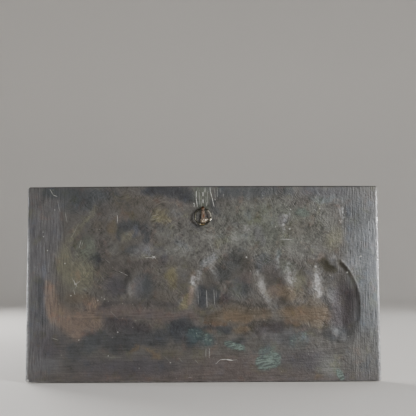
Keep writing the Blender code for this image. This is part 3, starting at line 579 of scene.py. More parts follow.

# Stains on the back, as one sees it from behind, and patches of painted shade and sheen among them: tone, points, half
# sizes (radii along a line), strength, raggedness
STAINS_AND_PAINTED_LIGHT = (
    # broad tones of the patina; the pale patch over the right border and the bright band along the right edge are
    # painted sheen, light reflected there
    ("umber", ((0, 92),), (173, 94), 0.5, 0.2), ("steel", ((-169, 97),), (22, 109), 0.9, 0.3),
    ("steel", ((-149, 156),), (10, 36), 0.7, 0.5), ("steel sheen", ((162, 97),), (24, 104), 0.9, 0.3),
    ("slate", ((149, 166),), (12, 26), 0.6, 0.4), ("bright sheen", ((171, 112),), (8, 60), 0.36, 0.5), ("warm grey", ((157, 28),), (16, 22), 0.8, 0.4), ("ink", ((143.5, 165.5),), (2.5, 4), 0.6, 0.4),
    ("rose", ((0, 6),), (178, 9), 0.8, 0.2), ("mauve", ((-72, 15),), (61, 11), 0.8, 0.3),
    ("rose", ((32, 17),), (54, 12), 0.8, 0.3), ("mauve", ((101, 21),), (30, 12), 0.7, 0.4),
    ("pale", ((125, 17),), (15, 10), 0.7, 0.6), ("warm grey", ((77, 153),), (55, 30), 0.8, 0.4),
    ("stone", ((-3, 136),), (50, 24), 0.7, 0.4),
    # along the top
    ("slate", ((-155.5, 188.5), (-123.5, 185.5), (-91, 184.5)), (6, 9, 7), 0.9, 0.4),
    ("slate", ((-121, 176),), (26, 10), 0.7, 0.5), ("umber", ((-77, 180),), (20, 12), 0.8, 0.5),
    ("navy", ((-54, 190), (-30, 189), (-8, 186)), (7, 8, 8), 0.68, 0.7), ("umber", ((-51, 177),), (20, 8), 0.7, 0.6),
    ("slate", ((19, 188.5), (47.5, 186.5), (87.5, 189.5)), (7, 9, 6), 0.8, 0.4), ("umber", ((59.5, 179.5),), (18, 6), 0.5, 0.6),
    ("grey", ((102.5, 188.5), (142.5, 187.5)), (6, 7), 0.85, 0.4), ("teal grey", ((122.5, 179.5),), (24, 5), 0.6, 0.5),
    ("sage", ((0, 190), (1, 177)), (10, 9), 0.75, 0.5), ("warm grey", ((-23, 167),), (14, 9), 0.7, 0.6),
    # beside and below the ring
    ("ink", ((11.5, 179), (11, 168)), (4, 4), 0.55, 0.5), ("ink", ((-9, 153),), (7, 3.5), 0.45, 0.6),
    # upper left
    ("straw", ((-42, 165.5),), (14, 7), 0.75, 1.1),
    ("olive", ((-110, 169.5), (-119, 161.5), (-126, 151), (-131.5, 138), (-136.5, 125.5)), (3.5, 4.5, 5.5, 5, 5), 0.5, 0.8),
    ("umber", ((-105, 153),), (13, 9), 0.8, 0.6), ("brown grey", ((-101, 168),), (10, 8), 0.6, 0.6),
    ("sage", ((-115, 131),), (12, 15), 0.85, 0.4), ("bronze", ((-89, 151),), (5, 9), 0.75, 0.7),
    ("brown grey", ((-99, 131),), (8, 13), 0.8, 0.5), ("stone", ((-90, 134),), (8, 10), 0.75, 0.8),
    ("umber", ((-63, 167),), (18, 7), 0.6, 0.7),
    # the dark arc here is painted shade on the upper wall of the dent it rings
    ("ink", ((-82, 144), (-79, 152), (-71, 155.5), (-61, 154), (-56, 148), (-58, 140)), (3, 4.5, 5, 5.5, 5, 4), 0.70, 0.5),
    ("olive", ((-75, 145),), (7, 6), 0.6, 0.6), ("blue grey", ((-68, 150),), (3, 6), 0.6, 0.6),
    ("slate", ((-70, 132),), (7, 5), 0.7, 0.5), ("steel", ((-55, 132),), (15, 7), 0.75, 0.7),
    ("stone", ((-38, 150),), (14, 7), 0.75, 0.6), ("slate", ((-26, 143),), (5, 4), 0.3, 0.8),
    ("pale", ((-25, 129),), (20, 9), 0.6, 0.8),
    # round the left hollow
    ("brown grey", ((-62, 118),), (13, 7), 0.85, 0.5),
    ("brown grey", ((-93.5, 120.5), (-83.5, 113.5), (-74.5, 109.5)), (8, 8, 6), 0.65, 0.7),
    ("navy", ((-108, 119),), (9, 7), 0.8, 0.6), ("umber", ((-98, 107),), (9, 9), 0.7, 0.5),
    ("mauve", ((-88, 94),), (13, 12), 0.85, 0.4), ("ink", ((-82, 94),), (11, 11), 0.26, 0.5), ("olive", ((-124, 106),), (19, 22), 0.85, 0.4),
    ("olive", ((-114, 108),), (8, 14), 0.7, 0.6), ("olive", ((-138, 119),), (8, 16), 0.7, 0.5),
    ("slate", ((-59, 95),), (11, 15), 0.9, 0.3), ("steel", ((-66, 99), (-65, 88)), (4.5, 6), 0.55, 0.4), ("black", ((-75, 108.5), (-74, 91)), (2, 3), 0.34, 0.6),
    ("straw", ((-30, 103),), (6.5, 11), 0.70, 0.6), ("mauve", ((-40, 119.5),), (5, 7), 0.6, 0.6),
    ("warm grey", ((-22, 112),), (7, 12), 0.7, 0.5), ("umber", ((-38, 84),), (13, 7), 0.8, 0.5),
    # the ewer's stain
    ("ink", ((-160, 97), (-160.5, 77), (-159.5, 60)), (6, 7, 7), 0.42, 0.6),
    ("copper", ((-151, 92), (-148.5, 75), (-139.5, 64), (-122.5, 58.5), (-111, 62.5), (-108, 76)), (6, 9, 12, 15, 12, 8), 0.92, 0.3),
    ("copper", ((-153, 98.5), (-153.5, 77), (-148.5, 60.5)), (3.5, 3.5, 4), 0.85, 0.4),
    ("copper", ((-134, 57), (-122, 46)), (9, 7), 0.9, 0.4),
    ("copper", ((-107, 79), (-106, 64), (-108, 50.5)), (4.5, 5.5, 4.5), 0.85, 0.3), ("umber", ((-128, 69),), (10, 7), 0.4, 0.8), ("copper", ((-141, 67),), (13, 9), 0.45, 0.5),
    ("bronze", ((-122, 82),), (15, 7), 0.75, 0.6),
    # the strip behind the table
    ("rose", ((-101, 69), (-67.5, 69), (-42.5, 69)), (7, 7, 6), 0.9, 0.35), ("rose", ((-43, 64), (-11, 64)), (7, 7), 0.85, 0.4),
    ("rose", ((-84, 70), (-52.5, 69)), (4, 4), 0.7, 0.5),
    ("bronze", ((3, 62.5), (19, 65), (41.5, 67), (62.5, 66)), (4, 8, 10, 7), 0.95, 0.3),
    ("rust", ((-1, 60.5), (19, 57.5)), (2.5, 3), 0.45, 0.7), ("ochre", ((36.5, 52.5),), (9, 5.5), 0.5, 0.7),
    ("bronze", ((80, 68), (96, 67), (114, 65), (125, 66)), (8, 11, 14, 9), 0.95, 0.3),
    ("rust", ((80.5, 58.5), (93, 57.5)), (3, 3), 0.45, 0.6), ("bronze", ((108, 54.5), (122, 55.5)), (4.5, 4.5), 0.5, 0.7),
    # the thin dark lines along the top of the strip are painted shade under its upper edge
    ("plum", ((-98, 78), (-72, 77.6), (-52, 78.2), (-26, 77)), (2.0, 2.6, 3.2, 2.4), 0.38, 0.3),
    ("dark umber", ((11, 78), (36, 77.6), (62, 76)), (2.4, 2.8, 2.8), 0.48, 0.45), ("plum", ((-96, 76),), (8, 4), 0.6, 0.7),
    ("tan", ((84, 67), (100, 66), (120, 65)), (6, 9.5, 9), 0.42, 0.4), ("tan", ((22, 64), (42, 63)), (5, 6), 0.45, 0.5),
    # dark places under the strip
    ("plum", ((-98, 57.5), (-77, 55), (-54, 56.5)), (5, 5.5, 6), 0.70, 0.9),
    ("ink", ((-106, 44), (-84, 41), (-60, 44), (-38, 46)), (10, 13, 13, 10), 0.66, 0.9), ("slate", ((-112, 36),), (10, 10), 0.8, 0.5),
    ("ink", ((-128, 30),), (12, 13), 0.62, 0.6), ("mauve", ((-151, 38),), (17, 16), 0.85, 0.4),
    ("steel", ((-156, 17),), (19, 10), 0.8, 0.4), ("ink", ((-27, 55), (-19, 48), (-10, 43)), (10, 12, 9), 0.92, 0.7), ("navy", ((-8, 50),), (9, 6), 0.5, 0.6), ("teal", ((-8, 45), (4, 38.5)), (8, 7.5), 0.6, 0.6),
    ("ink", ((0, 53.5), (25, 51.5)), (3.5, 4), 0.6, 0.6), ("ink", ((22, 49.5),), (5, 4), 0.75, 0.6),
    ("navy", ((33.5, 40.5),), (7, 5), 0.7, 0.5), ("moss", ((48.5, 53.5),), (5, 7), 0.75, 0.5),
    ("dark umber", ((44.5, 58), (60.5, 57.5), (80.5, 55), (100, 53.5)), (3, 3.5, 3.5, 2.5), 0.55, 0.6),
    ("plum", ((52.5, 51.5), (74.5, 51.5)), (6, 6), 0.6, 0.6), ("grey", ((81, 42),), (26, 10), 0.7, 0.6),
    ("rose", ((99, 50.5),), (5, 5), 0.6, 0.5), ("ochre", ((-70, 32), (-62, 33)), (4.5, 4), 0.5, 1.3),
    ("ochre", ((-48, 30),), (6.5, 5), 0.5, 1.4), ("stone", ((-89.5, 27),), (8, 4), 0.65, 0.7),
    ("umber", ((-28.5, 26),), (12, 6), 0.7, 0.6),
    # the middle's hollows
    # the pale streak at the top of the middle's pit is a painted highlight on its wall
    ("steel sheen", ((10, 122.5), (2, 115.5)), (4, 4), 0.6, 0.4), ("olive", ((15, 138),), (4, 6), 0.6, 0.7),
    ("dark grey", ((29, 119),), (13, 11), 0.85, 0.5), ("dark grey", ((19, 106),), (10, 9), 0.85, 0.5),
    ("straw", ((-18.5, 74.5), (-15.5, 83)), (4.5, 4), 0.7, 0.3), ("copper", ((-13.5, 78), (-11.5, 90)), (3.2, 3.6), 0.88, 0.3), ("ink", ((0, 90), (0, 77)), (6.5, 6.5), 0.85, 0.35),
    ("slate", ((11, 86),), (8, 10), 0.8, 0.4), ("plum", ((23, 82),), (6, 8), 0.75, 0.5),
    ("slate", ((37, 92),), (12, 12), 0.8, 0.4), ("rose", ((43, 102),), (8, 7), 0.7, 0.5),
    ("slate", ((59, 119),), (10, 10), 0.8, 0.5), ("brown grey", ((63, 112.5), (72, 107.5), (77.5, 97.5)), (5, 6, 5), 0.9, 0.4),
    ("copper", ((73, 91),), (9, 8), 0.7, 0.6), ("ochre", ((82, 88), (87, 84)), (8, 8), 0.45, 0.6),
    ("dark umber", ((78.5, 80),), (5, 5), 0.85, 0.4), ("sage", ((82, 113.5),), (9, 6), 0.65, 0.8),
    ("olive", ((95, 101),), (9, 10), 0.75, 0.5), ("bronze", ((98.5, 82), (110.5, 82)), (6.5, 6.5), 0.6, 0.6),
    # upper right
    ("sage", ((68, 154),), (66, 30), 0.62, 0.5), ("pale", ((38, 138),), (13, 9), 0.7, 0.6), ("warm grey", ((27, 153),), (12, 10), 0.6, 0.7),
    ("warm grey", ((44, 152),), (10, 6), 0.6, 0.8), ("steel", ((56, 145),), (6, 11), 0.6, 0.6),
    ("umber", ((97, 151),), (20, 12), 0.65, 0.6), ("brown grey", ((97.5, 176.5),), (12, 6), 0.7, 0.7),
    ("mauve", ((81, 159),), (5, 8), 0.6, 0.8), ("olive", ((131, 140),), (9, 13), 0.75, 0.6),
    ("teal grey", ((75, 125.5),), (3.5, 7), 0.6, 0.5), ("stone", ((100, 128),), (24, 7), 0.6, 0.6),
    # the jar; the dark patches under the tongue, just inside the upper arc and inside the right arc are painted shade
    # on the hollow's walls
    ("moss", ((118.5, 119.5), (123.5, 112.5), (130.5, 110.5)), (4.5, 5, 4), 0.85, 0.35),
    ("moss", ((136.5, 117.5), (143.5, 109.5)), (3, 3), 0.6, 0.4), ("dark umber", ((137, 102),), (9, 10), 0.7, 0.5),
    ("slate", ((126.5, 88), (130, 82)), (6, 7), 0.6, 0.5), ("black", ((118, 81), (127, 72)), (4, 4), 0.5, 0.5),
    ("plum", ((140, 83), (138, 60)), (15, 13), 0.92, 0.3), ("slate", ((134, 46),), (13, 10), 0.85, 0.5),
    ("black", ((122, 51),), (4, 8), 0.48, 0.5),
)

# Green corrosion: points, half sizes (radii along a line), strength, raggedness
VERDIGRIS = (
    (((-12, 48), (-4, 44), (3, 38)), (6, 8, 5), 0.52, 0.8), (((23, 36.5), (30, 35.5), (37, 33.5)), (3.4, 4.2, 3.8), 0.92, 0.6),
    (((58, 20), (69, 22)), (9.5, 9.5), 1.0, 0.5), (((58, 33), (68, 32)), (5, 5), 0.55, 0.6), (((91, 40), (98, 42)), (7, 7), 0.50, 0.8),
    (((134, 10), (135, 5)), (4, 3.6), 0.95, 0.4), (((93, 168), (103, 163)), (4, 5), 0.45, 0.9), (((131, 15),), (3, 4), 0.25, 0.8),
    (((15, 47),), (5, 4), 0.4, 0.7),
)

# Crests and walls of the hollows rubbed bare, laid where the walls catch the light, so partly painted highlight:
# points, half sizes, strength
RUBBED_AND_HIGHLIGHT = (
    (((3.5, 116), (-2.5, 109), (-7, 102.5), (-10, 97)), (3.2, 3.8, 4.8, 4.2), 0.37), (((11, 124), (4, 116)), (4, 4), 0.22),
    (((10, 113), (13, 102)), (3.4, 3.4), 0.13), (((55, 108), (58, 99)), (5.4, 6.4), 0.18), (((61, 98), (66, 80)), (5.5, 6.5), 0.03),
    (((84, 111), (88, 101)), (7.5, 7.5), 0.20), (((74, 122), (74, 114)), (2.8, 2.8), 0.14), (((115, 107), (114, 97), (112, 86)), (5, 6.6, 6), 0.18),
    (((130, 122),), (4.2, 4.6), 0.22), (((129, 88),), (5, 7), 0.04), (((127, 51),), (5, 4.6), 0.02), (((135, 43),), (6, 5), 0.03),
    (((-71, 95), (-69.5, 88)), (4, 4.4), 0.06), (((139, 171.5), (139.6, 162)), (1.1, 1.0), 0.60), (((82, 149), (79.5, 157), (85, 169)), (2.6, 3.4, 2.2), 0.20),
    (((154, 118),), (10, 12), 0.14), (((-60, 128),), (16, 7), 0.10), (((44, 152),), (12, 6), 0.14),
)

TONE_CONTRAST = 1.75
TONE_COLOUR = 1.35
DEPTH_OF_TONE = 0.80


def drifting(u, v):
    """How far the stains' outlines wander from plain shapes, in both directions."""
    wide = [5.0 * noise(u, v, 15.0, 100 + k) + 2.4 * noise(u, v, 5.5, 102 + k) + 1.3 * noise(u, v, 2.3, 104 + k) for k in (0, 1)]
    return wide


def stain_shape(u, v, points, half, ragged, drift):
    x, y = u + ragged * drift[0], v + ragged * drift[1]
    if len(points) == 1:
        r = np.hypot((x - points[0][0]) / half[0], (y - points[0][1]) / half[1])
    else:
        r = np.full(np.shape(u), 9.0)
        for (pu, pv), (qu, qv), first, last in zip(points, points[1:], half, half[1:]):
            t = np.clip(((x - pu) * (qu - pu) + (y - pv) * (qv - pv)) / ((qu - pu) ** 2 + (qv - pv) ** 2), 0.0, 1.0)
            r = np.minimum(r, np.hypot(x - pu - t * (qu - pu), y - pv - t * (qv - pv)) / (first + (last - first) * t))
    return 1.0 - smooth(0.30, 1.30, r)


def back_tones(u, v):
    """The patina's colour: a ground with the stains and the patches of painted shade and sheen laid on in turn,
    deepened for the haze of the wax.
    """
    ground = linear((92, 90, 87))
    tone = np.ones(np.shape(u) + (3,)) * ground
    drift = drifting(u, v)
    for name, points, half, strength, ragged in STAINS_AND_PAINTED_LIGHT:
        w = (strength * stain_shape(u, v, points, half, ragged, drift))[..., None]
        tone = tone * (1.0 - w) + linear(TONES[name]) * w
    grey = tone.mean(axis=-1, keepdims=True)
    level = DEPTH_OF_TONE * (grey / ground.mean()) ** TONE_CONTRAST * ground.mean()
    return level * (tone / grey) ** TONE_COLOUR * np.array((0.975, 1.0, 1.05))


def mottling(u, v):
    """How broken the patina is: lively above and between the hollows, calm on the borders and low down."""
    inner = smooth(32.0, 46.0, HALF - np.abs(u)) * smooth(96.0, 128.0, v) * smooth(194.0, 178.0, v)
    right = smooth(-75.0, 10.0, u)
    return 0.26 + 0.16 * smooth(30.0, 44.0, HALF - np.abs(u)) + inner * (0.12 + 0.48 * right)


def attribute(mesh, name, values):
    """values (n, 3) or (n, 4) as a colour on the points, or (n,) as a number."""
    if values.ndim == 1:
        made = mesh.attributes.new(name, "FLOAT", "POINT")
        made.data.foreach_set("value", values.astype(np.float32))
    else:
        if values.shape[1] == 3:
            values = np.column_stack([values, np.ones(len(values))])
        made = mesh.attributes.new(name, "FLOAT_COLOR", "POINT")
        made.data.foreach_set("color", values.astype(np.float32).ravel())


def with_rim(field, loop):
    """A lattice field as one value (or row) per point, with the seam's points added."""
    flat = field.reshape(-1, field.shape[-1]) if field.ndim == 3 else field.ravel()
    return np.concatenate([flat, flat[loop]])


def back_finish(mesh, a, b, u, v, loop):
    """Stains, corrosion, rubbing and brushing as attributes of the back's points, with painted shade and painted
    highlight among them.
    """
    tone = back_tones(u, v)
    deep = read(FINE_LINES["hollow"], u, v)
    crest = read(FINE_LINES["hollow_wide"], u, v) - deep
    green = np.zeros(np.shape(u))
    drift = drifting(u, v)
    for points, half, strength, ragged in VERDIGRIS:
        green = np.maximum(green, strength * stain_shape(u, v, points, half, ragged, drift))
    reach_in = np.where(u > 0.0, 44.0 + 14.0 * smooth(60.0, 120.0, v), 30.0 + 22.0 * smooth(30.0, 60.0, v))
    upright = smooth(reach_in, 0.5 * reach_in, HALF - np.abs(u))
    level = np.maximum(smooth(60.0, 40.0, v) * 0.8, smooth(8.0, 1.0, np.abs(v - 65.0)) * (np.abs(u) < 135) * 0.9) * (1.0 - upright)
    # bare metal and painted highlight: the bright lines down both upright edges are partly wear and partly painted
    # highlight, the thin line along the lip over the jar's hollow is painted highlight, crests left by the tools are
    # rubbed bare, and the listed patches lay bare metal and painted highlight on the hollows' walls
    left, right, top = HALF + a, HALF - a, HEIGHT - b
    patchy = 0.55 + 0.45 * noise(u, v, 11.0, 61) + 0.25 * noise(u, v, 3.5, 62)
    rub_and_highlight = 1.1 * groove(left - 0.7, 1.5) * smooth(160.0, 134.0, v) * np.clip(0.35 + patchy, 0.0, 1.0)
    rub_and_highlight = np.maximum(rub_and_highlight, 1.2 * groove(right - 0.7, 1.6) * np.clip(0.4 + patchy, 0.0, 1.0) * smooth(194.0, 184.0, v))
    rub_and_highlight = np.maximum(rub_and_highlight, 0.35 * groove(b - 0.6, 0.7) * patchy)
    reach = (1.0 - jar_radius(u, v)) * 42.0
    turn = np.degrees(np.arctan2(v - JAR_V, u - JAR_U))
    rub_and_highlight = np.maximum(rub_and_highlight, 0.55 * groove(reach + 0.4, 0.55) * smooth(18.0, 30.0, turn) * smooth(72.0, 64.0, turn))
    rub_and_highlight = np.maximum(rub_and_highlight, np.clip(0.40 * crest - 0.05, 0.0, 0.45))
    for points, half, strength in RUBBED_AND_HIGHLIGHT:
        broken = 0.62 + 0.80 * noise(u, v, 2.6, 65) + 0.70 * noise(u, v, 1.2, 66)
        rub_and_highlight = np.maximum(rub_and_highlight, strength * np.clip(broken, 0.0, 1.6) * stain_shape(u, v, points, half, 0.35, drift))
    # painted shade: dark lines along the top and bottom edges, where the rounding turns from the light, and the jar
    # hollow's right wall in shadow, darkest just inside its outline
    dark = 0.9 * groove(top - 0.2, 0.9) * smooth(0.0, 2.0, right) + 0.75 * groove(b + 0.1, 0.8)
    spread = 2.2 + 7.5 * smooth(42.0, 4.0, turn)
    shade = smooth(-0.3, 1.0, reach) * np.exp(-np.maximum(reach - 0.8, 0.0) / spread)
    dark = np.maximum(dark, shade * (0.50 + 0.42 * smooth(-5.0, 30.0, turn)) * smooth(-58.0, -28.0, turn) * smooth(74.0, 62.0, turn))
    shine = smooth(16.0, 6.0, HALF - u) * 0.5 + 0.35 * smooth(0.2, 0.9, noise(u, v, 17.0, 63))
    attribute(mesh, "tone", with_rim(tone, loop))
    attribute(mesh, "wear_and_highlight", with_rim(np.dstack([green, rub_and_highlight, upright, level]), loop))
    attribute(mesh, "dark", with_rim(np.clip(dark, 0.0, 1.0), loop))
    attribute(mesh, "shine", with_rim(shine, loop))
    attribute(mesh, "mottle", with_rim(mottling(u, v), loop))


def front_finish(mesh, a, b, u, v, loop):
    """Dirt in the hollows of the carving and bare bronze on its high places."""
    d = edge_distance(a, b)
    high = read(FINE_LINES["carving"], u, v)
    crest = high - read(FINE_LINES["carving_wide"], u, v)
    rim = smooth(RIM_WIDTH + 1.0, RIM_WIDTH - 2.0, d)
    edge = smooth(2.4, 0.5, d)
    rub_and_highlight = np.clip(0.40 * crest + 0.040 * high + 0.10 * noise(u, v, 19.0, 76) + 0.07 * noise(u, v, 6.0, 77), 0.0, 1.0) * smooth(0.2, 1.2, high + crest) * (1.0 - rim)
    rub_and_highlight += rim * (0.45 * edge * smooth(-0.1, 0.9, d) + 0.10 * (1.0 + noise(u, v, 9.0, 78)) + 0.45 * beading(a, b) + 0.35 * smooth(1.0, 2.4, d) * smooth(6.0, 4.4, d))
    dirt = np.clip(-0.55 * crest, 0.0, 1.0) * (1.0 - rim) + rim * 0.8 * groove(d - 9.3, 1.0) + rim * 0.35 * groove(d - 6.0, 0.7)
    tone = np.ones(np.shape(u) + (3,)) * linear((84, 70, 57))
    tone = tone * (1.0 + 0.16 * noise(u, v, 22.0, 74) + 0.10 * noise(u, v, 8.0, 75))[..., None]
    side = 0.65 * smooth(0.8, 0.0, d)[..., None]
    tone = tone * (1.0 - side) + linear((73, 71, 69)) * side
    green = 0.75 * smooth(0.30, 0.85, dirt + 0.45 * noise(u, v, 8.0, 72)) * smooth(0.05, 0.4, noise(u, v, 42.0, 73))
    attribute(mesh, "tone", with_rim(tone, loop))
    attribute(mesh, "wear_and_highlight", with_rim(np.dstack([green, np.clip(rub_and_highlight, 0.0, 1.0), np.zeros_like(u), np.zeros_like(u)]), loop))
    attribute(mesh, "dark", with_rim(np.clip(dirt, 0.0, 1.0), loop))
    attribute(mesh, "shine", with_rim(0.3 * np.ones_like(u), loop))


# ---------------------------------------------------------------- node helpers
class Nodes:
    """Short calls for building a material's node tree."""

    def __init__(self, tree):
        self.tree, self.links = tree, tree.links

    def add(self, kind, **settings):
        node = self.tree.nodes.new(kind)
        for key, value in settings.items():
            setattr(node, key, value)
        return node

    def put(self, socket, value):
        if isinstance(value, bpy.types.NodeSocket):
            self.links.new(value, socket)
        elif value is not None:
            socket.default_value = value

    def math(self, op, a, b=None, c=None, clamp=False):
        node = self.add("ShaderNodeMath", operation=op, use_clamp=clamp)
        for socket, value in zip(node.inputs, (a, b, c)):
            self.put(socket, value)
        return node.outputs[0]

    def vec(self, op, a, b=None, scale=None):
        node = self.add("ShaderNodeVectorMath", operation=op)
        self.put(node.inputs[0], a)
        if b is not None:
            self.put(node.inputs[1], b)
        if scale is not None:
            self.put(node.inputs["Scale"], scale)
        return node.outputs["Value" if op in ("LENGTH", "DOT_PRODUCT", "DISTANCE") else "Vector"]

    def span(self, value, low, high, to_low=0.0, to_high=1.0, kind="SMOOTHSTEP"):
        node = self.add("ShaderNodeMapRange", interpolation_type=kind)
        for socket, item in zip(node.inputs, (value, low, high, to_low, to_high)):
            self.put(socket, item)
        return node.outputs[0]

    def noise(self, where, scale, detail=2.0, rough=0.5, stretch=None, colour=False):
        if stretch is not None:
            where = self.vec("MULTIPLY", where, stretch)
        node = self.add("ShaderNodeTexNoise")
        self.put(node.inputs["Vector"], where)
        self.put(node.inputs["Scale"], scale)
        self.put(node.inputs["Detail"], detail)
        self.put(node.inputs["Roughness"], rough)
        return node.outputs["Color" if colour else "Fac"]

    def mix(self, fac, a, b, mode="MIX"):
        node = self.add("ShaderNodeMix", data_type="RGBA", blend_type=mode, clamp_factor=True)
        self.put(node.inputs[0], fac)
        for socket, value in ((node.inputs[6], a), (node.inputs[7], b)):
            if isinstance(value, (tuple, list)) and len(value) == 3:
                value = (*value, 1.0)
            self.put(socket, value)
        return node.outputs[2]

    def turned(self, where, degrees):
        node = self.add("ShaderNodeVectorRotate", rotation_type="Y_AXIS")
        self.put(node.inputs["Vector"], where)
        node.inputs["Angle"].default_value = math.radians(degrees)
        return node.outputs[0]

    def sway(self, *terms):
        """1 plus each (noise, amount): the noise swings about a half."""
        total = 1.0
        for value, amount in terms:
            centred = self.math("SUBTRACT", value, 0.5)
            total = self.math("MULTIPLY_ADD", centred, amount, total)
        return total

    def parts(self, colour):
        node = self.add("ShaderNodeSeparateColor")
        self.put(node.inputs[0], colour)
        return node.outputs

    def bump(self, height, strength, distance):
        node = self.add("ShaderNodeBump")
        node.inputs["Strength"].default_value = strength
        node.inputs["Distance"].default_value = distance
        self.put(node.inputs["Height"], height)
        return node.outputs[0]

    def named(self, name, output="Color"):
        return self.add("ShaderNodeAttribute", attribute_name=name).outputs[output]


def scratch_group():
    """How much of a point lies in a straight scratch from A to A + D, both in the plate's plane."""
    tree = bpy.data.node_groups.new("scratch", "ShaderNodeTree")
    for name, kind in (("Point", "NodeSocketVector"), ("Start", "NodeSocketVector"), ("Run", "NodeSocketVector"),
                       ("Run over length squared", "NodeSocketVector"), ("Half width", "NodeSocketFloat")):
        tree.interface.new_socket(name, in_out="INPUT", socket_type=kind)
    tree.interface.new_socket("Mask", in_out="OUTPUT", socket_type="NodeSocketFloat")
    k = Nodes(tree)
    gin, gout = k.add("NodeGroupInput"), k.add("NodeGroupOutput")
    rel = k.vec("SUBTRACT", gin.outputs["Point"], gin.outputs["Start"])
    t = k.math("MINIMUM", k.math("MAXIMUM", k.vec("DOT_PRODUCT", rel, gin.outputs["Run over length squared"]), 0.0), 1.0)
    foot = k.vec("SCALE", gin.outputs["Run"], scale=t)
    away = k.vec("LENGTH", k.vec("SUBTRACT", rel, foot))
    taper = k.math("SUBTRACT", 1.0, k.math("POWER", k.math("ABSOLUTE", k.math("SUBTRACT", k.math("MULTIPLY", t, 2.0), 1.0)), 4.0))
    width = k.math("MULTIPLY", gin.outputs["Half width"], k.math("MULTIPLY_ADD", taper, 0.7, 0.35))
    k.links.new(k.span(away, k.math("MULTIPLY", width, 0.35), width, 1.0, 0.0), gout.inputs["Mask"])
    return tree


# Scratches on the back, u and v of both ends, half width in millimetres, strength
SCRATCHES = (
    ((-6.4, 189.0), (-6.6, 181.5), 0.42, 0.9), ((-6.6, 181.5), (-5.4, 173.0), 0.42, 0.95), ((0.2, 187.8), (0.2, 183.6), 0.62, 0.85),
    ((0.2, 180.4), (0.3, 176.6), 0.60, 0.80), ((4.4, 178.0), (3.6, 173.4), 0.55, 0.35), ((-3.0, 184.5), (-3.4, 175.0), 0.5, 0.22), ((2.4, 192.5), (2.2, 187.5), 0.34, 0.7), ((7.3, 192.8), (7.6, 188.4), 0.4, 0.8),
    ((7.6, 188.4), (9.2, 182.4), 0.42, 0.9), ((9.2, 182.4), (11.4, 172.6), 0.42, 0.95), ((14.5, 192.0), (14.5, 182.5), 0.3, 0.45),
    ((20.6, 186.0), (20.6, 183.2), 0.34, 0.5), ((-3.4, 191.0), (-3.9, 180.0), 0.26, 0.4), ((4.6, 188.0), (4.9, 178.0), 0.26, 0.4),
    ((-8.2, 175.5), (-8.8, 173.0), 0.4, 0.6), ((11.8, 192.0), (12.6, 181.0), 0.26, 0.4), ((12.3, 181.0), (12.3, 179.4), 0.5, 0.5),
    ((-1.4, 184.0), (-1.6, 172.6), 0.24, 0.35), ((17.4, 191.5), (17.6, 186.5), 0.26, 0.35), ((3.2, 183.5), (3.0, 175.0), 0.24, 0.35),
    ((-153.0, 191.2), (-149.6, 185.4), 0.40, 0.48), ((-149.6, 185.4), (-145.6, 183.8), 0.44, 0.55), ((-145.6, 181.0), (-142.6, 168.0), 0.34, 0.26),
    ((-137.6, 168.0), (-135.4, 157.5), 0.50, 0.20), ((-121.4, 140.5), (-123.4, 132.0), 0.36, 0.42), ((-120.0, 138.0), (-120.8, 134.0), 0.3, 0.4),
    ((-85.3, 165.2), (-85.3, 156.8), 0.36, 0.55), ((16.4, 22.0), (22.5, 22.2), 0.36, 0.85), ((22.5, 22.2), (28.6, 21.2), 0.55, 1.0),
    ((28.6, 21.4), (33.0, 21.8), 0.26, 0.5), ((12.0, 17.8), (16.8, 22.2), 0.30, 0.6), ((76.9, 140.4), (89.4, 139.9), 0.36, 0.45),
    ((119.6, 27.9), (138.6, 27.4), 0.30, -0.6), ((3.2, 90.0), (3.9, 73.0), 0.65, 0.34), ((10.6, 91.0), (11.4, 75.0), 0.6, 0.26),
    ((-5.2, 89.0), (-4.6, 76.0), 0.45, 0.18), ((12.8, 90.0), (13.0, 82.0), 0.45, 0.22), ((-3.0, 91.0), (-2.8, 84.0), 0.4, 0.16), ((-51.6, 163.6), (-44.0, 165.6), 0.45, 0.22),
    ((-50.6, 160.0), (-43.4, 162.2), 0.45, 0.22), ((136.2, 159.4), (139.0, 155.6), 0.36, 0.5),
    ((136.4, 155.8), (139.2, 159.2), 0.36, 0.5), ((-130.0, 102.0), (-125.0, 94.0), 0.42, 0.40), ((-128.4, 100.6), (-127.2, 95.4), 0.4, 0.5), ((-126.0, 96.6), (-122.4, 99.6), 0.34, 0.4), ((-128.6, 91.0), (-127.2, 86.0), 0.4, 0.4),
    ((-125.0, 100.0), (-126.6, 92.5), 0.3, 0.35), ((-90.5, 110.4), (-86.0, 108.6), 0.5, -0.8), ((-86.0, 108.6), (-76.5, 106.0), 0.5, -0.6),
    ((-83.5, 109.0), (-75.0, 104.8), 0.32, 0.5), ((-97.5, 121.5), (-92.5, 117.0), 0.35, 0.22), ((-58.0, 122.6), (-49.0, 122.4), 0.32, 0.5), ((-50.6, 124.4), (-47.0, 121.4), 0.40, 0.7), ((-50.2, 121.4), (-47.6, 124.2), 0.34, 0.6),
    ((-51.0, 123.4), (-46.4, 122.9), 0.30, 0.5),
    ((159.4, 123.0), (155.0, 124.2), 0.36, -0.7), ((155.0, 124.2), (154.8, 121.4), 0.36, -0.7), ((-131.0, 143.0), (-123.6, 157.4), 0.34, 0.16),
    ((2.6, 32.5), (2.4, 24.5), 0.45, 0.28), ((6.0, 33.0), (5.8, 23.5), 0.5, 0.32), ((-92.0, 69.6), (-83.0, 61.0), 0.28, 0.12),
    ((-150.0, 44.0), (-143.0, 41.6), 0.32, 0.3), ((-39.6, 26.8), (-33.0, 20.0), 0.28, 0.12), ((-24.5, 24.0), (-21.0, 20.2), 0.3, 0.16),
    ((-8.4, 21.8), (-5.0, 18.4), 0.32, 0.2), ((-15.2, 4.8), (-10.8, 5.0), 0.3, 0.3),
)

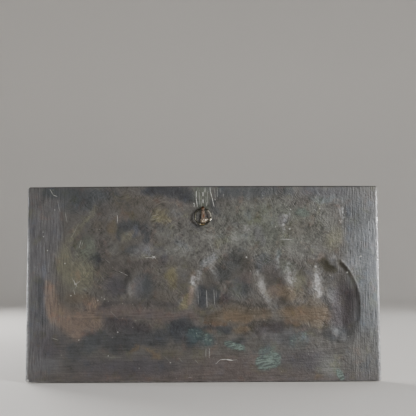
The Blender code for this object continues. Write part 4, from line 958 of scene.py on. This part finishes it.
# Small bright chips and dark pits: u, v, half size, strength (negative is dark)
CHIPS = (
    (-48.6, 123.0, 0.9, 0.75), (43.2, 122.4, 1.1, 0.75), (87.8, 170.0, 1.0, 0.6), (116.8, 170.6, 0.8, 0.7), (80.2, 154.9, 1.7, 0.4),
    (-148.0, 170.4, 0.8, 0.6), (-159.4, 148.3, 0.8, 0.6), (-158.6, 143.8, 0.8, 0.55), (-154.8, 130.0, 0.7, 0.7), (-137.6, 117.0, 0.9, 0.6),
    (-104.4, 80.4, 0.9, 0.55), (-100.4, 83.4, 0.7, 0.35), (-97.6, 81.6, 0.8, 0.4), (-93.8, 79.4, 0.7, 0.35), (-126.6, 96.5, 1.6, 0.5),
    (-131.2, 85.2, 1.0, 0.55), (143.4, 107.0, 1.0, 0.85), (157.2, 123.0, 1.0, 0.8), (-172.6, 2.2, 1.8, 1.0), (-8.8, 176.2, 0.9, 0.7),
    (-114.0, 149.0, 1.0, -0.7), (-110.5, 150.5, 1.1, -0.8), (-107.6, 152.4, 1.0, -0.8), (-103.4, 149.6, 1.0, -0.7), (-111.4, 154.4, 0.9, -0.7),
    (-108.8, 148.2, 0.9, -0.8), (-105.4, 151.0, 0.8, 0.2), (-101.8, 147.4, 0.9, -0.7), (-112.6, 152.0, 0.8, -0.7), (-107.0, 155.4, 0.9, -0.8),
    (-101.0, 152.0, 0.9, -0.6), (-105.6, 142.6, 0.9, -0.6), (-117.0, 157.6, 0.9, -0.6), (-98.6, 148.8, 0.8, -0.5), (-90.2, 64.6, 0.7, -0.4),
    (-84.6, 49.2, 0.9, 0.5), (-93.6, 26.2, 0.9, 0.4), (-32.6, 19.2, 0.8, 0.5), (-63.2, 14.0, 0.8, 0.4), (86.6, 150.6, 1.2, 0.5),
    (-122.6, 41.6, 0.8, 0.5), (47.0, 108.8, 0.7, 0.3), (72.6, 152.6, 1.0, 0.35), (112.0, 113.0, 1.6, 0.4), (-43.6, 12.6, 1.0, -0.4),
)


def fresh(name):
    mat = bpy.data.materials.new(name)
    mat.use_nodes = True
    return mat, Nodes(mat.node_tree), mat.node_tree.nodes["Principled BSDF"]


def strike(k, flat, small):
    """Masks of the bright and the dark scratches and chips."""
    group = scratch_group()
    made = {True: 0.0, False: 0.0}
    for (u0, v0), (u1, v1), half, strength in SCRATCHES:
        node = k.add("ShaderNodeGroup", node_tree=group)
        start, run = Vector((-u0, 0, v0 - HANG_V)) * MM, Vector((u0 - u1, 0, v1 - v0)) * MM
        k.put(node.inputs["Point"], flat)
        node.inputs["Start"].default_value = start
        node.inputs["Run"].default_value = run
        node.inputs["Run over length squared"].default_value = run / run.length_squared
        node.inputs["Half width"].default_value = half * MM
        mask = k.math("MULTIPLY", node.outputs[0], abs(strength))
        made[strength > 0] = k.math("MAXIMUM", made[strength > 0], mask)
    ripple = k.math("SUBTRACT", small, 0.5)
    for cu, cv, half, strength in CHIPS:
        away = k.vec("DISTANCE", flat, (-cu * MM, 0.0, (cv - HANG_V) * MM))
        away = k.math("MULTIPLY_ADD", ripple, 2.0 * half * MM, away)
        mask = k.math("MULTIPLY", k.span(away, 0.3 * half * MM, half * MM, 1.0, 0.0), abs(strength))
        made[strength > 0] = k.math("MAXIMUM", made[strength > 0], mask)
    return made[True], made[False]


def back_material():
    """Waxed brown-black patina, brushed and scratched, with stains, corrosion and bare metal, and with painted shade
    and painted highlight in its colour.
    """
    mat, k, shader = fresh("back_patina")
    where = k.add("ShaderNodeTexCoord").outputs["Object"]
    flat = k.vec("MULTIPLY", where, (1.0, 0.0, 1.0))
    small = k.noise(where, 560.0, 3.0, 0.65)
    bright, dark = strike(k, flat, small)

    wear_and_highlight, level = k.named("wear_and_highlight"), k.named("wear_and_highlight", "Alpha")
    green, rub_and_highlight, upright = k.parts(wear_and_highlight)[:3]
    shade, shine = k.named("dark", "Fac"), k.named("shine", "Fac")

    # brushing: upright at the sides, level low down, crossed and bent in the middle
    bend = k.vec("SCALE", k.vec("SUBTRACT", k.noise(where, 45.0, 1.0, 0.5, colour=True), (0.5, 0.5, 0.5)), scale=0.024)
    bent = k.vec("ADD", where, bend)
    stray = k.vec("ADD", where, k.vec("SCALE", bend, scale=0.03))
    tall = k.noise(stray, 1.0, 3.0, 0.65, (720.0, 200.0, 60.0))
    wide = k.noise(stray, 1.0, 3.0, 0.65, (50.0, 200.0, 640.0))
    one = k.noise(k.turned(bent, 34.0), 1.0, 2.0, 0.6, (680.0, 200.0, 105.0))
    two = k.noise(k.turned(bent, -40.0), 1.0, 2.0, 0.6, (720.0, 200.0, 115.0))
    crossed = k.math("MULTIPLY", k.math("SUBTRACT", k.math("ADD", one, two), 1.0), k.span(k.noise(where, 32.0, 2.0, 0.5), 0.35, 0.62, 0.15, 0.9))
    inner = k.math("SUBTRACT", 1.0, k.math("ADD", upright, level), clamp=True)
    marks = k.math("MULTIPLY", k.math("MULTIPLY", upright, 1.35), k.math("SUBTRACT", tall, 0.5))
    marks = k.math("ADD", marks, k.math("MULTIPLY", level, k.math("SUBTRACT", wide, 0.5)))
    marks = k.math("MULTIPLY_ADD", inner, crossed, marks)

    # mottling of the patina at three sizes, and its colour drift
    big = k.noise(where, 60.0, 3.0, 0.6)
    mid = k.noise(where, 190.0, 4.0, 0.65)
    mottle = k.named("mottle", "Fac")
    value = k.math("MULTIPLY_ADD", k.math("SUBTRACT", k.sway((big, 1.2), (mid, 1.5), (small, 1.2)), 1.0), mottle, 1.0)
    value = k.math("MAXIMUM", k.math("MULTIPLY_ADD", marks, 1.5, value), 0.30)
    colour = k.mix(1.0, k.named("tone"), value, "MULTIPLY")
    drift = k.parts(k.noise(where, 70.0, 4.0, 0.65, colour=True))
    colour = k.mix(k.span(drift[0], 0.54, 0.70, 0.0, 0.55), colour, k.mix(1.0, colour, (1.24, 0.95, 0.85), "MULTIPLY"))
    colour = k.mix(k.span(drift[1], 0.54, 0.70, 0.0, 0.55), colour, k.mix(1.0, colour, (1.02, 1.06, 0.76), "MULTIPLY"))
    colour = k.mix(k.span(drift[2], 0.54, 0.70, 0.0, 0.55), colour, k.mix(1.0, colour, (0.88, 0.98, 1.16), "MULTIPLY"))

    # bright grains and dark pits of many sizes, here and there
    cells = k.add("ShaderNodeTexVoronoi", feature="F1")
    k.put(cells.inputs["Vector"], where)
    cells.inputs["Scale"].default_value = 300.0
    pick = k.parts(cells.outputs["Color"])
    size = k.math("MULTIPLY_ADD", pick[2], 0.16, 0.05)
    spot = k.math("LESS_THAN", cells.outputs["Distance"], size)
    colour = k.mix(k.math("MULTIPLY", k.math("MULTIPLY", spot, k.math("GREATER_THAN", pick[0], 0.93)), 0.40), colour, (0.26, 0.25, 0.23))
    colour = k.mix(k.math("MULTIPLY", k.math("MULTIPLY", spot, k.math("LESS_THAN", pick[0], 0.05)), 0.55), colour, (0.03, 0.027, 0.025))

    # green corrosion, broken and speckled, only a little greener and paler than what it lies on
    ragged = k.math("MULTIPLY_ADD", k.math("SUBTRACT", k.noise(where, 300.0, 4.0, 0.7), 0.5), 1.1, green)
    crust = k.span(ragged, 0.46, 0.66)
    hatch = k.noise(k.turned(where, -12.0), 1.0, 2.0, 0.6, (110.0, 200.0, 640.0))
    crust_colour = k.mix(k.span(k.math("MULTIPLY_ADD", small, 0.2, k.math("MULTIPLY", hatch, 0.8)), 0.44, 0.58), (0.048, 0.064, 0.062), (0.150, 0.205, 0.178))
    colour = k.mix(k.math("MULTIPLY", k.span(green, 0.05, 0.6), 0.45), colour, k.mix(1.0, colour, (0.72, 1.12, 1.10), "MULTIPLY"))
    colour = k.mix(k.math("MULTIPLY", crust, k.span(green, 0.1, 0.9, 0.2, 0.75)), colour, crust_colour)

    # painted shade along the top and bottom edges and on the jar hollow's wall, then bare metal on edges and crests,
    # which is partly painted highlight
    colour = k.mix(k.math("MULTIPLY", shade, k.span(mid, 0.30, 0.60, 1.0, 0.75)), colour, (0.022, 0.016, 0.012))
    bare_and_highlight = k.math("MULTIPLY", rub_and_highlight, k.span(small, 0.34, 0.60, 0.35, 1.0), clamp=True)
    colour = k.mix(k.math("MULTIPLY", bare_and_highlight, 0.9), colour, (0.52, 0.53, 0.54))
    broken = k.span(k.noise(where, 420.0, 3.0, 0.65), 0.34, 0.58, 0.50, 1.0)
    bright = k.math("MULTIPLY", bright, broken)
    colour = k.mix(bright, colour, (0.58, 0.58, 0.56))
    colour = k.mix(dark, colour, (0.018, 0.016, 0.015))
    k.put(shader.inputs["Base Color"], colour)

    metal = k.math("MULTIPLY", k.math("MULTIPLY_ADD", bare_and_highlight, 0.55, 0.22), k.math("SUBTRACT", 1.0, crust))
    k.put(shader.inputs["Metallic"], metal)
    shader.inputs["Specular IOR Level"].default_value = 0.5
    rough = k.math("MULTIPLY_ADD", k.math("SUBTRACT", mid, 0.5), 0.5, 0.44)
    rough = k.math("MULTIPLY_ADD", k.math("SUBTRACT", big, 0.5), 0.3, rough)
    rough = k.math("MULTIPLY_ADD", marks, 0.3, rough)
    rough = k.math("MULTIPLY_ADD", shine, -0.10, rough)
    rough = k.math("MULTIPLY_ADD", crust, 0.30, rough)
    rough = k.math("MULTIPLY_ADD", bare_and_highlight, -0.10, rough, clamp=True)
    k.put(shader.inputs["Roughness"], rough)

    height = k.math("MULTIPLY", marks, 0.34)
    height = k.math("MULTIPLY_ADD", mid, 0.45, height)
    height = k.math("MULTIPLY_ADD", small, 0.30, height)
    height = k.math("MULTIPLY_ADD", crust, 0.06, height)
    k.put(shader.inputs["Normal"], k.bump(height, 1.0, 0.001))
    return mat


def front_material():
    """The carved side: dark in its hollows, rubbed to bronze on its high places."""
    mat, k, shader = fresh("front_patina")
    where = k.add("ShaderNodeTexCoord").outputs["Object"]
    green, rub_and_highlight = k.parts(k.named("wear_and_highlight"))[:2]
    dirt = k.named("dark", "Fac")
    big = k.noise(where, 55.0, 3.0, 0.6)
    mid = k.noise(where, 210.0, 4.0, 0.65)
    small = k.noise(where, 640.0, 3.0, 0.65)
    colour = k.mix(1.0, k.named("tone"), k.sway((big, 0.8), (mid, 0.9), (small, 0.8)), "MULTIPLY")
    drift = k.parts(k.noise(where, 90.0, 3.0, 0.6, colour=True))
    colour = k.mix(k.span(drift[0], 0.52, 0.68, 0.0, 0.7), colour, k.mix(1.0, colour, (1.22, 0.94, 0.78), "MULTIPLY"))
    colour = k.mix(k.span(drift[1], 0.52, 0.68, 0.0, 0.6), colour, k.mix(1.0, colour, (0.95, 1.02, 0.86), "MULTIPLY"))
    bare_and_highlight = k.math("MULTIPLY", rub_and_highlight, k.span(mid, 0.28, 0.62, 0.55, 1.15), clamp=True)
    colour = k.mix(bare_and_highlight, colour, k.mix(k.span(big, 0.4, 0.6), (0.40, 0.27, 0.125), (0.52, 0.37, 0.19)))
    colour = k.mix(k.math("MULTIPLY", dirt, 0.9, clamp=True), colour, (0.016, 0.012, 0.009))
    ragged = k.math("MULTIPLY_ADD", k.math("SUBTRACT", k.noise(where, 330.0, 4.0, 0.7), 0.5), 1.0, green)
    crust = k.span(ragged, 0.42, 0.66)
    crust_colour = k.mix(k.span(small, 0.36, 0.62), (0.045, 0.075, 0.062), (0.15, 0.215, 0.18))
    colour = k.mix(k.math("MULTIPLY", crust, 0.7), colour, crust_colour)
    k.put(shader.inputs["Base Color"], colour)
    metal = k.math("SUBTRACT", k.math("MULTIPLY_ADD", bare_and_highlight, 0.35, 0.60), k.math("MULTIPLY", k.math("ADD", dirt, crust), 0.5), clamp=True)
    k.put(shader.inputs["Metallic"], metal)
    rough = k.math("MULTIPLY_ADD", k.math("SUBTRACT", mid, 0.5), 0.4, 0.43)
    rough = k.math("MULTIPLY_ADD", bare_and_highlight, -0.10, rough)
    rough = k.math("MULTIPLY_ADD", k.math("ADD", dirt, crust), 0.28, rough, clamp=True)
    k.put(shader.inputs["Roughness"], rough)
    height = k.math("MULTIPLY_ADD", small, 0.26, k.math("MULTIPLY", mid, 0.22))
    k.put(shader.inputs["Normal"], k.bump(height, 1.0, 0.001))
    return mat


def wire_material(name, base, warm, dark, roughness, wear_scale=700.0, worn_and_glint_spots=()):
    """Tarnished brass or solder: a bright metal under a broken dark film, with spots given as (centre, reach, colour)
    in millimetres, some rubbed through and some painted highlight."""
    mat, k, shader = fresh(name)
    where = k.add("ShaderNodeTexCoord").outputs["Object"]
    film = k.noise(where, wear_scale, 4.0, 0.6)
    fine = k.noise(where, wear_scale * 3.1, 3.0, 0.6)
    colour = k.mix(k.span(film, 0.38, 0.62), dark, base)
    colour = k.mix(k.span(fine, 0.50, 0.72), colour, warm)
    rubbed_and_glint = 0.0
    for centre, reach, shade in worn_and_glint_spots:
        away = k.vec("DISTANCE", where, tuple(c * MM for c in centre))
        away = k.math("MULTIPLY_ADD", k.math("SUBTRACT", film, 0.5), reach * 1.2 * MM, away)
        spot = k.span(away, 0.45 * reach * MM, reach * MM, 1.0, 0.0)
        colour = k.mix(spot, colour, shade)
        rubbed_and_glint = k.math("MAXIMUM", rubbed_and_glint, spot)
    k.put(shader.inputs["Base Color"], colour)
    k.put(shader.inputs["Metallic"], k.math("MAXIMUM", k.span(film, 0.32, 0.6, 0.55, 0.98), rubbed_and_glint))
    k.put(shader.inputs["Roughness"], k.span(fine, 0.2, 0.8, roughness - 0.10, roughness + 0.16))
    height = k.math("ADD", film, fine)
    k.put(shader.inputs["Normal"], k.bump(height, 0.5, 0.00008))
    return mat


# ---------------------------------------------------------------- the ring and the lug
def tube(name, centre, radius_of, sides=20, closed=True):
    """A round bar along a closed or open run of points, with a radius for each."""
    pts = [Vector(c) for c in centre]
    n = len(pts)
    verts, quads = [], []
    for i, p in enumerate(pts):
        ahead, behind = pts[(i + 1) % n], pts[(i - 1) % n]
        if not closed:
            ahead, behind = pts[min(i + 1, n - 1)], pts[max(i - 1, 0)]
        along = (ahead - behind).normalized()
        side = Vector((0.0, 1.0, 0.0))
        out = along.cross(side).normalized()
        for j in range(sides):
            t = 2.0 * math.pi * j / sides
            verts.append(p + (side * math.cos(t) + out * math.sin(t)) * radius_of(i / n, t))
    last = n if closed else n - 1
    for i in range(last):
        for j in range(sides):
            a, b = i * sides + j, i * sides + (j + 1) % sides
            c, d = ((i + 1) % n) * sides + (j + 1) % sides, ((i + 1) % n) * sides + j
            quads.append((a, b, c, d))
    return verts, quads


def solid_mesh(name, verts, faces):
    bm = bmesh.new()
    made = [bm.verts.new(v) for v in verts]
    for f in faces:
        bm.faces.new([made[i] for i in f])
    bmesh.ops.recalc_face_normals(bm, faces=bm.faces)
    mesh = bpy.data.meshes.new(name)
    bm.to_mesh(mesh)
    bm.free()
    mesh.shade_smooth()
    return mesh


SEAM = math.radians(-22.0)


def ring_mesh():
    """A bent wire ring: a little out of round, its ends joined low on one side by a bead of solder."""
    count = 150
    centre = []
    for i in range(count):
        t = 2.0 * math.pi * i / count
        r = RING_R - 0.10 + 0.07 * math.cos(2.0 * t + 0.5) + 0.03 * math.sin(3.0 * t)
        # t = 0 is at -X, which is the right as seen from the back
        centre.append((-r * math.cos(t) * MM, (AXIS_Y + 0.04 * math.sin(2.0 * t)) * MM, (r * math.sin(t) - RING_R) * MM))

    def radius(share, around):
        t = 2.0 * math.pi * share
        gap = (t - SEAM + math.pi) % (2.0 * math.pi) - math.pi
        low = (t + math.pi / 2 + math.pi) % (2.0 * math.pi) - math.pi
        r = WIRE_R - 0.06 + 0.34 * math.exp(-(gap / 0.13) ** 2) - 0.20 * math.exp(-((gap - 0.03) / 0.018) ** 2)
        r += 0.05 * math.exp(-(low / 0.35) ** 2) + 0.018 * math.sin(7.0 * t + 2.0 * around) + 0.012 * math.sin(17.0 * t + around)
        return r * MM
    return solid_mesh("ring_wire_mesh", *tube("ring", centre, radius))


def strip_path():
    """Centreline of the folded strip in y and z: up the inner leaf, over the eye, down the outer leaf."""
    mid = EYE_R + STRIP_T / 2
    inner, outer = GAP + STRIP_T / 2, GAP + 1.5 * STRIP_T
    low = math.acos((outer - AXIS_Y) / mid)
    path = [(inner, LUG_LOW + (0.0 - LUG_LOW) * i / 16) for i in range(16)]
    path += [(AXIS_Y + mid * math.cos(t), mid * math.sin(t)) for t in (math.pi - (math.pi + low) * i / 30 for i in range(31))]
    z0 = -mid * math.sin(low)
    path += [(outer + 0.03, z0 + (LUG_LOW + 0.5 - z0) * i / 15) for i in range(1, 16)]
    return path


def lug_mesh():
    path = strip_path()
    n = len(path)
    w, t, c = STRIP_W / 2 - 0.06, STRIP_T / 2 - 0.03, 0.16
    section = [(-w, -t + c), (-w + c * 0.3, -t + c * 0.3), (-w + c, -t), (0.0, -t), (w - c, -t), (w - c * 0.3, -t + c * 0.3), (w, -t + c),
               (w, t - c), (w - c * 0.3, t - c * 0.3), (w - c, t), (0.0, t), (-w + c, t), (-w + c * 0.3, t - c * 0.3), (-w, t - c)]
    m = len(section)
    verts, faces = [], []
    for i, (y, z) in enumerate(path):
        y0, z0 = path[max(i - 1, 0)]
        y1, z1 = path[min(i + 1, n - 1)]
        dy, dz = y1 - y0, z1 - z0
        length = math.hypot(dy, dz)
        ny, nz = -dz / length, dy / length
        trim = 1.0 - 0.05 * (0.5 + 0.5 * math.sin(0.9 * i)) - 0.03 * (0.5 + 0.5 * math.sin(2.3 * i + 1.0))
        for s, h in section:
            verts.append(Vector((s * trim, y + ny * h, z + nz * h)) * MM)
    for i in range(n - 1):
        for j in range(m):
            a, b = i * m + j, i * m + (j + 1) % m
            faces.append((a, b, b + m, a + m))
    faces.append(tuple(range(m)))
    faces.append(tuple((n - 1) * m + j for j in range(m)))
    return solid_mesh("lug_strip_mesh", verts, faces)


def solder_mesh():
    """A lumpy mound run over the strip's lower end, as several drops flowed into one."""
    bm = bmesh.new()
    bmesh.ops.create_icosphere(bm, subdivisions=5, radius=1.0)
    drops = ((-1.6, -11.8, 3.3, 2.1, 1.9), (-3.8, -10.8, 1.8, 1.5, 1.6), (1.0, -12.8, 1.7, 1.5, 1.95), (-1.4, -13.3, 2.1, 1.3, 1.5), (-0.6, -10.6, 1.6, 1.2, 1.8))
    for p in bm.verts:
        direction = p.co.normalized()
        best = 0.0
        # reach of the farthest drop along this direction, in the plate's plane
        ang = math.atan2(direction.z, direction.x)
        flat = math.hypot(direction.x, direction.z)
        for cx, cz, rx, rz, ry in drops:
            dx, dz = cx + 1.5, cz + 11.5
            reach = (dx * math.cos(ang) + dz * math.sin(ang)) + math.hypot(rx * math.cos(ang), rz * math.sin(ang)) * 0.92
            best = max(best, reach)
        x, z = -1.5 + direction.x * best, -11.5 + direction.z * best
        high = 0.0
        for cx, cz, rx, rz, ry in drops:
            q = 1.0 - ((x - cx) / rx) ** 2 - ((z - cz) / rz) ** 2
            if q > 0.0:
                high = max(high, ry * math.sqrt(q))
        lump = 0.10 * math.sin(3.1 * x + 1.0) * math.sin(3.7 * z) + 0.06 * math.sin(6.3 * x - 2.0 * z)
        top = GAP + 0.35 + high + lump
        y = GAP + 0.02 if direction.y < 0.0 else GAP + 0.02 + (top - GAP) * min(1.0, direction.y * 1.5) ** 0.6
        p.co = Vector((x, y, z)) * MM
    bmesh.ops.smooth_vert(bm, verts=bm.verts, factor=0.5, use_axis_x=True, use_axis_y=True, use_axis_z=True)
    bmesh.ops.recalc_face_normals(bm, faces=bm.faces)
    mesh = bpy.data.meshes.new("solder_mesh")
    bm.to_mesh(mesh)
    bm.free()
    mesh.shade_smooth()
    return mesh


def piece(name, mesh, mat):
    ob = bpy.data.objects.new(name, mesh)
    bpy.context.scene.collection.objects.link(ob)
    mesh.materials.clear()
    mesh.materials.append(mat)
    return ob


# ---------------------------------------------------------------- build
fine_fields()
(back_mesh, front_mesh), A, B, U, V, LOOP = plate_skins()
back_finish(back_mesh, A, B, U, V, LOOP)
front_finish(front_mesh, A, B, U, V, LOOP)
for skin in (piece("plate_back", back_mesh, back_material()), piece("plate_front", front_mesh, front_material())):
    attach(skin, "plaque")
    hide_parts("relief_plate")

strip = piece("lug_strip", lug_mesh(), wire_material("lug_tarnish", (0.31, 0.24, 0.19), (0.52, 0.44, 0.36), (0.065, 0.040, 0.026), 0.36, 800.0, (
    ((0.0, AXIS_Y + 1.2, 0.6), 2.4, (0.115, 0.062, 0.034)), ((-1.4, 2.0, -7.6), 1.9, (0.16, 0.085, 0.05)))))
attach(strip, "plaque")
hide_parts("hanging_lug")
solder = piece("solder_mound", solder_mesh(), wire_material("solder_grey", (0.64, 0.60, 0.52), (0.88, 0.82, 0.68), (0.20, 0.12, 0.06), 0.25, 700.0))
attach(solder, "plaque")

# the pale spots along the right arc and the cream spot low on the left are painted highlight; the gold low down is
# rubbed brass and the bright spot at the seam is solder
ring = piece("ring_wire", ring_mesh(), wire_material("ring_tarnish_and_highlight", (0.088, 0.086, 0.068), (0.17, 0.16, 0.115), (0.018, 0.017, 0.015), 0.24, 620.0, (
    ((0.6, AXIS_Y, -2.0 * RING_R), 3.0, (0.26, 0.195, 0.095)), ((2.6, AXIS_Y, 0.4 - 2.0 * RING_R), 1.3, (0.62, 0.57, 0.44)),
    *(((-(RING_R - 0.45) * math.cos(t), AXIS_Y + 0.4, (RING_R - 0.45) * math.sin(t) - RING_R), 1.05, (0.50, 0.48, 0.42)) for t in (0.05, 0.2, 0.35, 0.5, 0.65, 0.8)),
    ((-RING_R * math.cos(SEAM), AXIS_Y, RING_R * math.sin(SEAM) - RING_R), 1.7, (0.72, 0.66, 0.52)))))
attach(ring, "ring")
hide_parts("hanging_ring")

# ---------------------------------------------------------------- floor, backdrop, light, camera
FLOOR_Z = -HANG_V * MM - 0.0002


def plain_material(name, colour, roughness):
    mat = bpy.data.materials.new(name)
    mat.use_nodes = True
    shader = mat.node_tree.nodes["Principled BSDF"]
    shader.inputs["Base Color"].default_value = (*colour, 1.0)
    shader.inputs["Roughness"].default_value = roughness
    return mat


def studio():
    """A pale floor that curves up into a wall all round, well away from the object."""
    bend, flat_r, top, sides = 0.9, 1.7, 2.4, 96
    profile = [(0.6, FLOOR_Z), (flat_r, FLOOR_Z)]
    profile += [(flat_r + bend * math.sin(t), FLOOR_Z + bend - bend * math.cos(t)) for t in (math.pi / 2 * i / 18 for i in range(1, 19))]
    profile += [(flat_r + bend, top)]
    verts = [(0.0, 0.0, FLOOR_Z)]
    verts += [(r * math.cos(2 * math.pi * j / sides), r * math.sin(2 * math.pi * j / sides), z) for r, z in profile for j in range(sides)]
    faces = [(0, 1 + j, 1 + (j + 1) % sides) for j in range(sides)]
    for i in range(len(profile) - 1):
        for j in range(sides):
            a, b = 1 + i * sides + j, 1 + i * sides + (j + 1) % sides
            faces.append((a, a + sides, b + sides, b))
    mesh = bpy.data.meshes.new("studio_floor")
    mesh.from_pydata(verts, [], faces)
    mesh.update()
    mesh.shade_smooth()
    ob = piece("studio_floor", mesh, plain_material("pale_floor", (0.74, 0.72, 0.69), 0.8))
    return ob


def area_light(name, place, target, width, height, power, colour=(1.0, 1.0, 1.0)):
    data = bpy.data.lights.new(name, "AREA")
    data.shape, data.size, data.size_y, data.energy, data.color = "RECTANGLE", width, height, power, colour
    ob = bpy.data.objects.new(name, data)
    bpy.context.scene.collection.objects.link(ob)
    ob.location = place
    ob.rotation_mode = "QUATERNION"
    ob.rotation_quaternion = (Vector(target) - Vector(place)).to_track_quat("-Z", "Y")
    ob.visible_camera = False
    return ob


studio()
area_light("key_right", (-1.10, 0.95, 0.30), (0.0, 0.0, -0.08), 0.22, 0.5, 23.0, (1.0, 0.99, 0.98))
area_light("fill_left", (1.2, 1.2, 0.5), (0.0, 0.0, -0.08), 1.1, 1.1, 2.0, (0.95, 0.97, 1.0))
area_light("edge_left", (1.25, -0.10, -0.02), (0.17, 0.0, -0.08), 0.25, 0.6, 14.0, (0.93, 0.96, 1.0))
area_light("front_soft", (0.75, -0.85, 0.55), (0.0, 0.0, -0.08), 0.6, 0.6, 12.0, (1.0, 0.98, 0.96))
area_light("front_fill", (-0.9, -0.75, 0.2), (0.0, 0.0, -0.08), 0.8, 0.8, 2.5, (0.96, 0.98, 1.0))

world = bpy.data.worlds.new("studio")
world.use_nodes = True
world.node_tree.nodes["Background"].inputs["Color"].default_value = (0.80, 0.80, 0.81, 1.0)
world.node_tree.nodes["Background"].inputs["Strength"].default_value = 0.28
bpy.context.scene.world = world

camera = bpy.data.objects.new("camera", bpy.data.cameras.new("camera"))
bpy.context.scene.collection.objects.link(camera)
camera.data.sensor_width = 36.0
camera.data.lens = 64.904
camera.data.clip_start, camera.data.clip_end = 0.02, 30.0
camera.matrix_world = Matrix((
    (-0.99999, -0.00413, 0.00248, -0.00331),
    (0.00215, 0.07884, 0.99688, 0.74741),
    (-0.00431, 0.99688, -0.07883, -0.05837),
    (0.0, 0.0, 0.0, 1.0),
))
bpy.context.scene.camera = camera
bpy.context.view_layer.update()
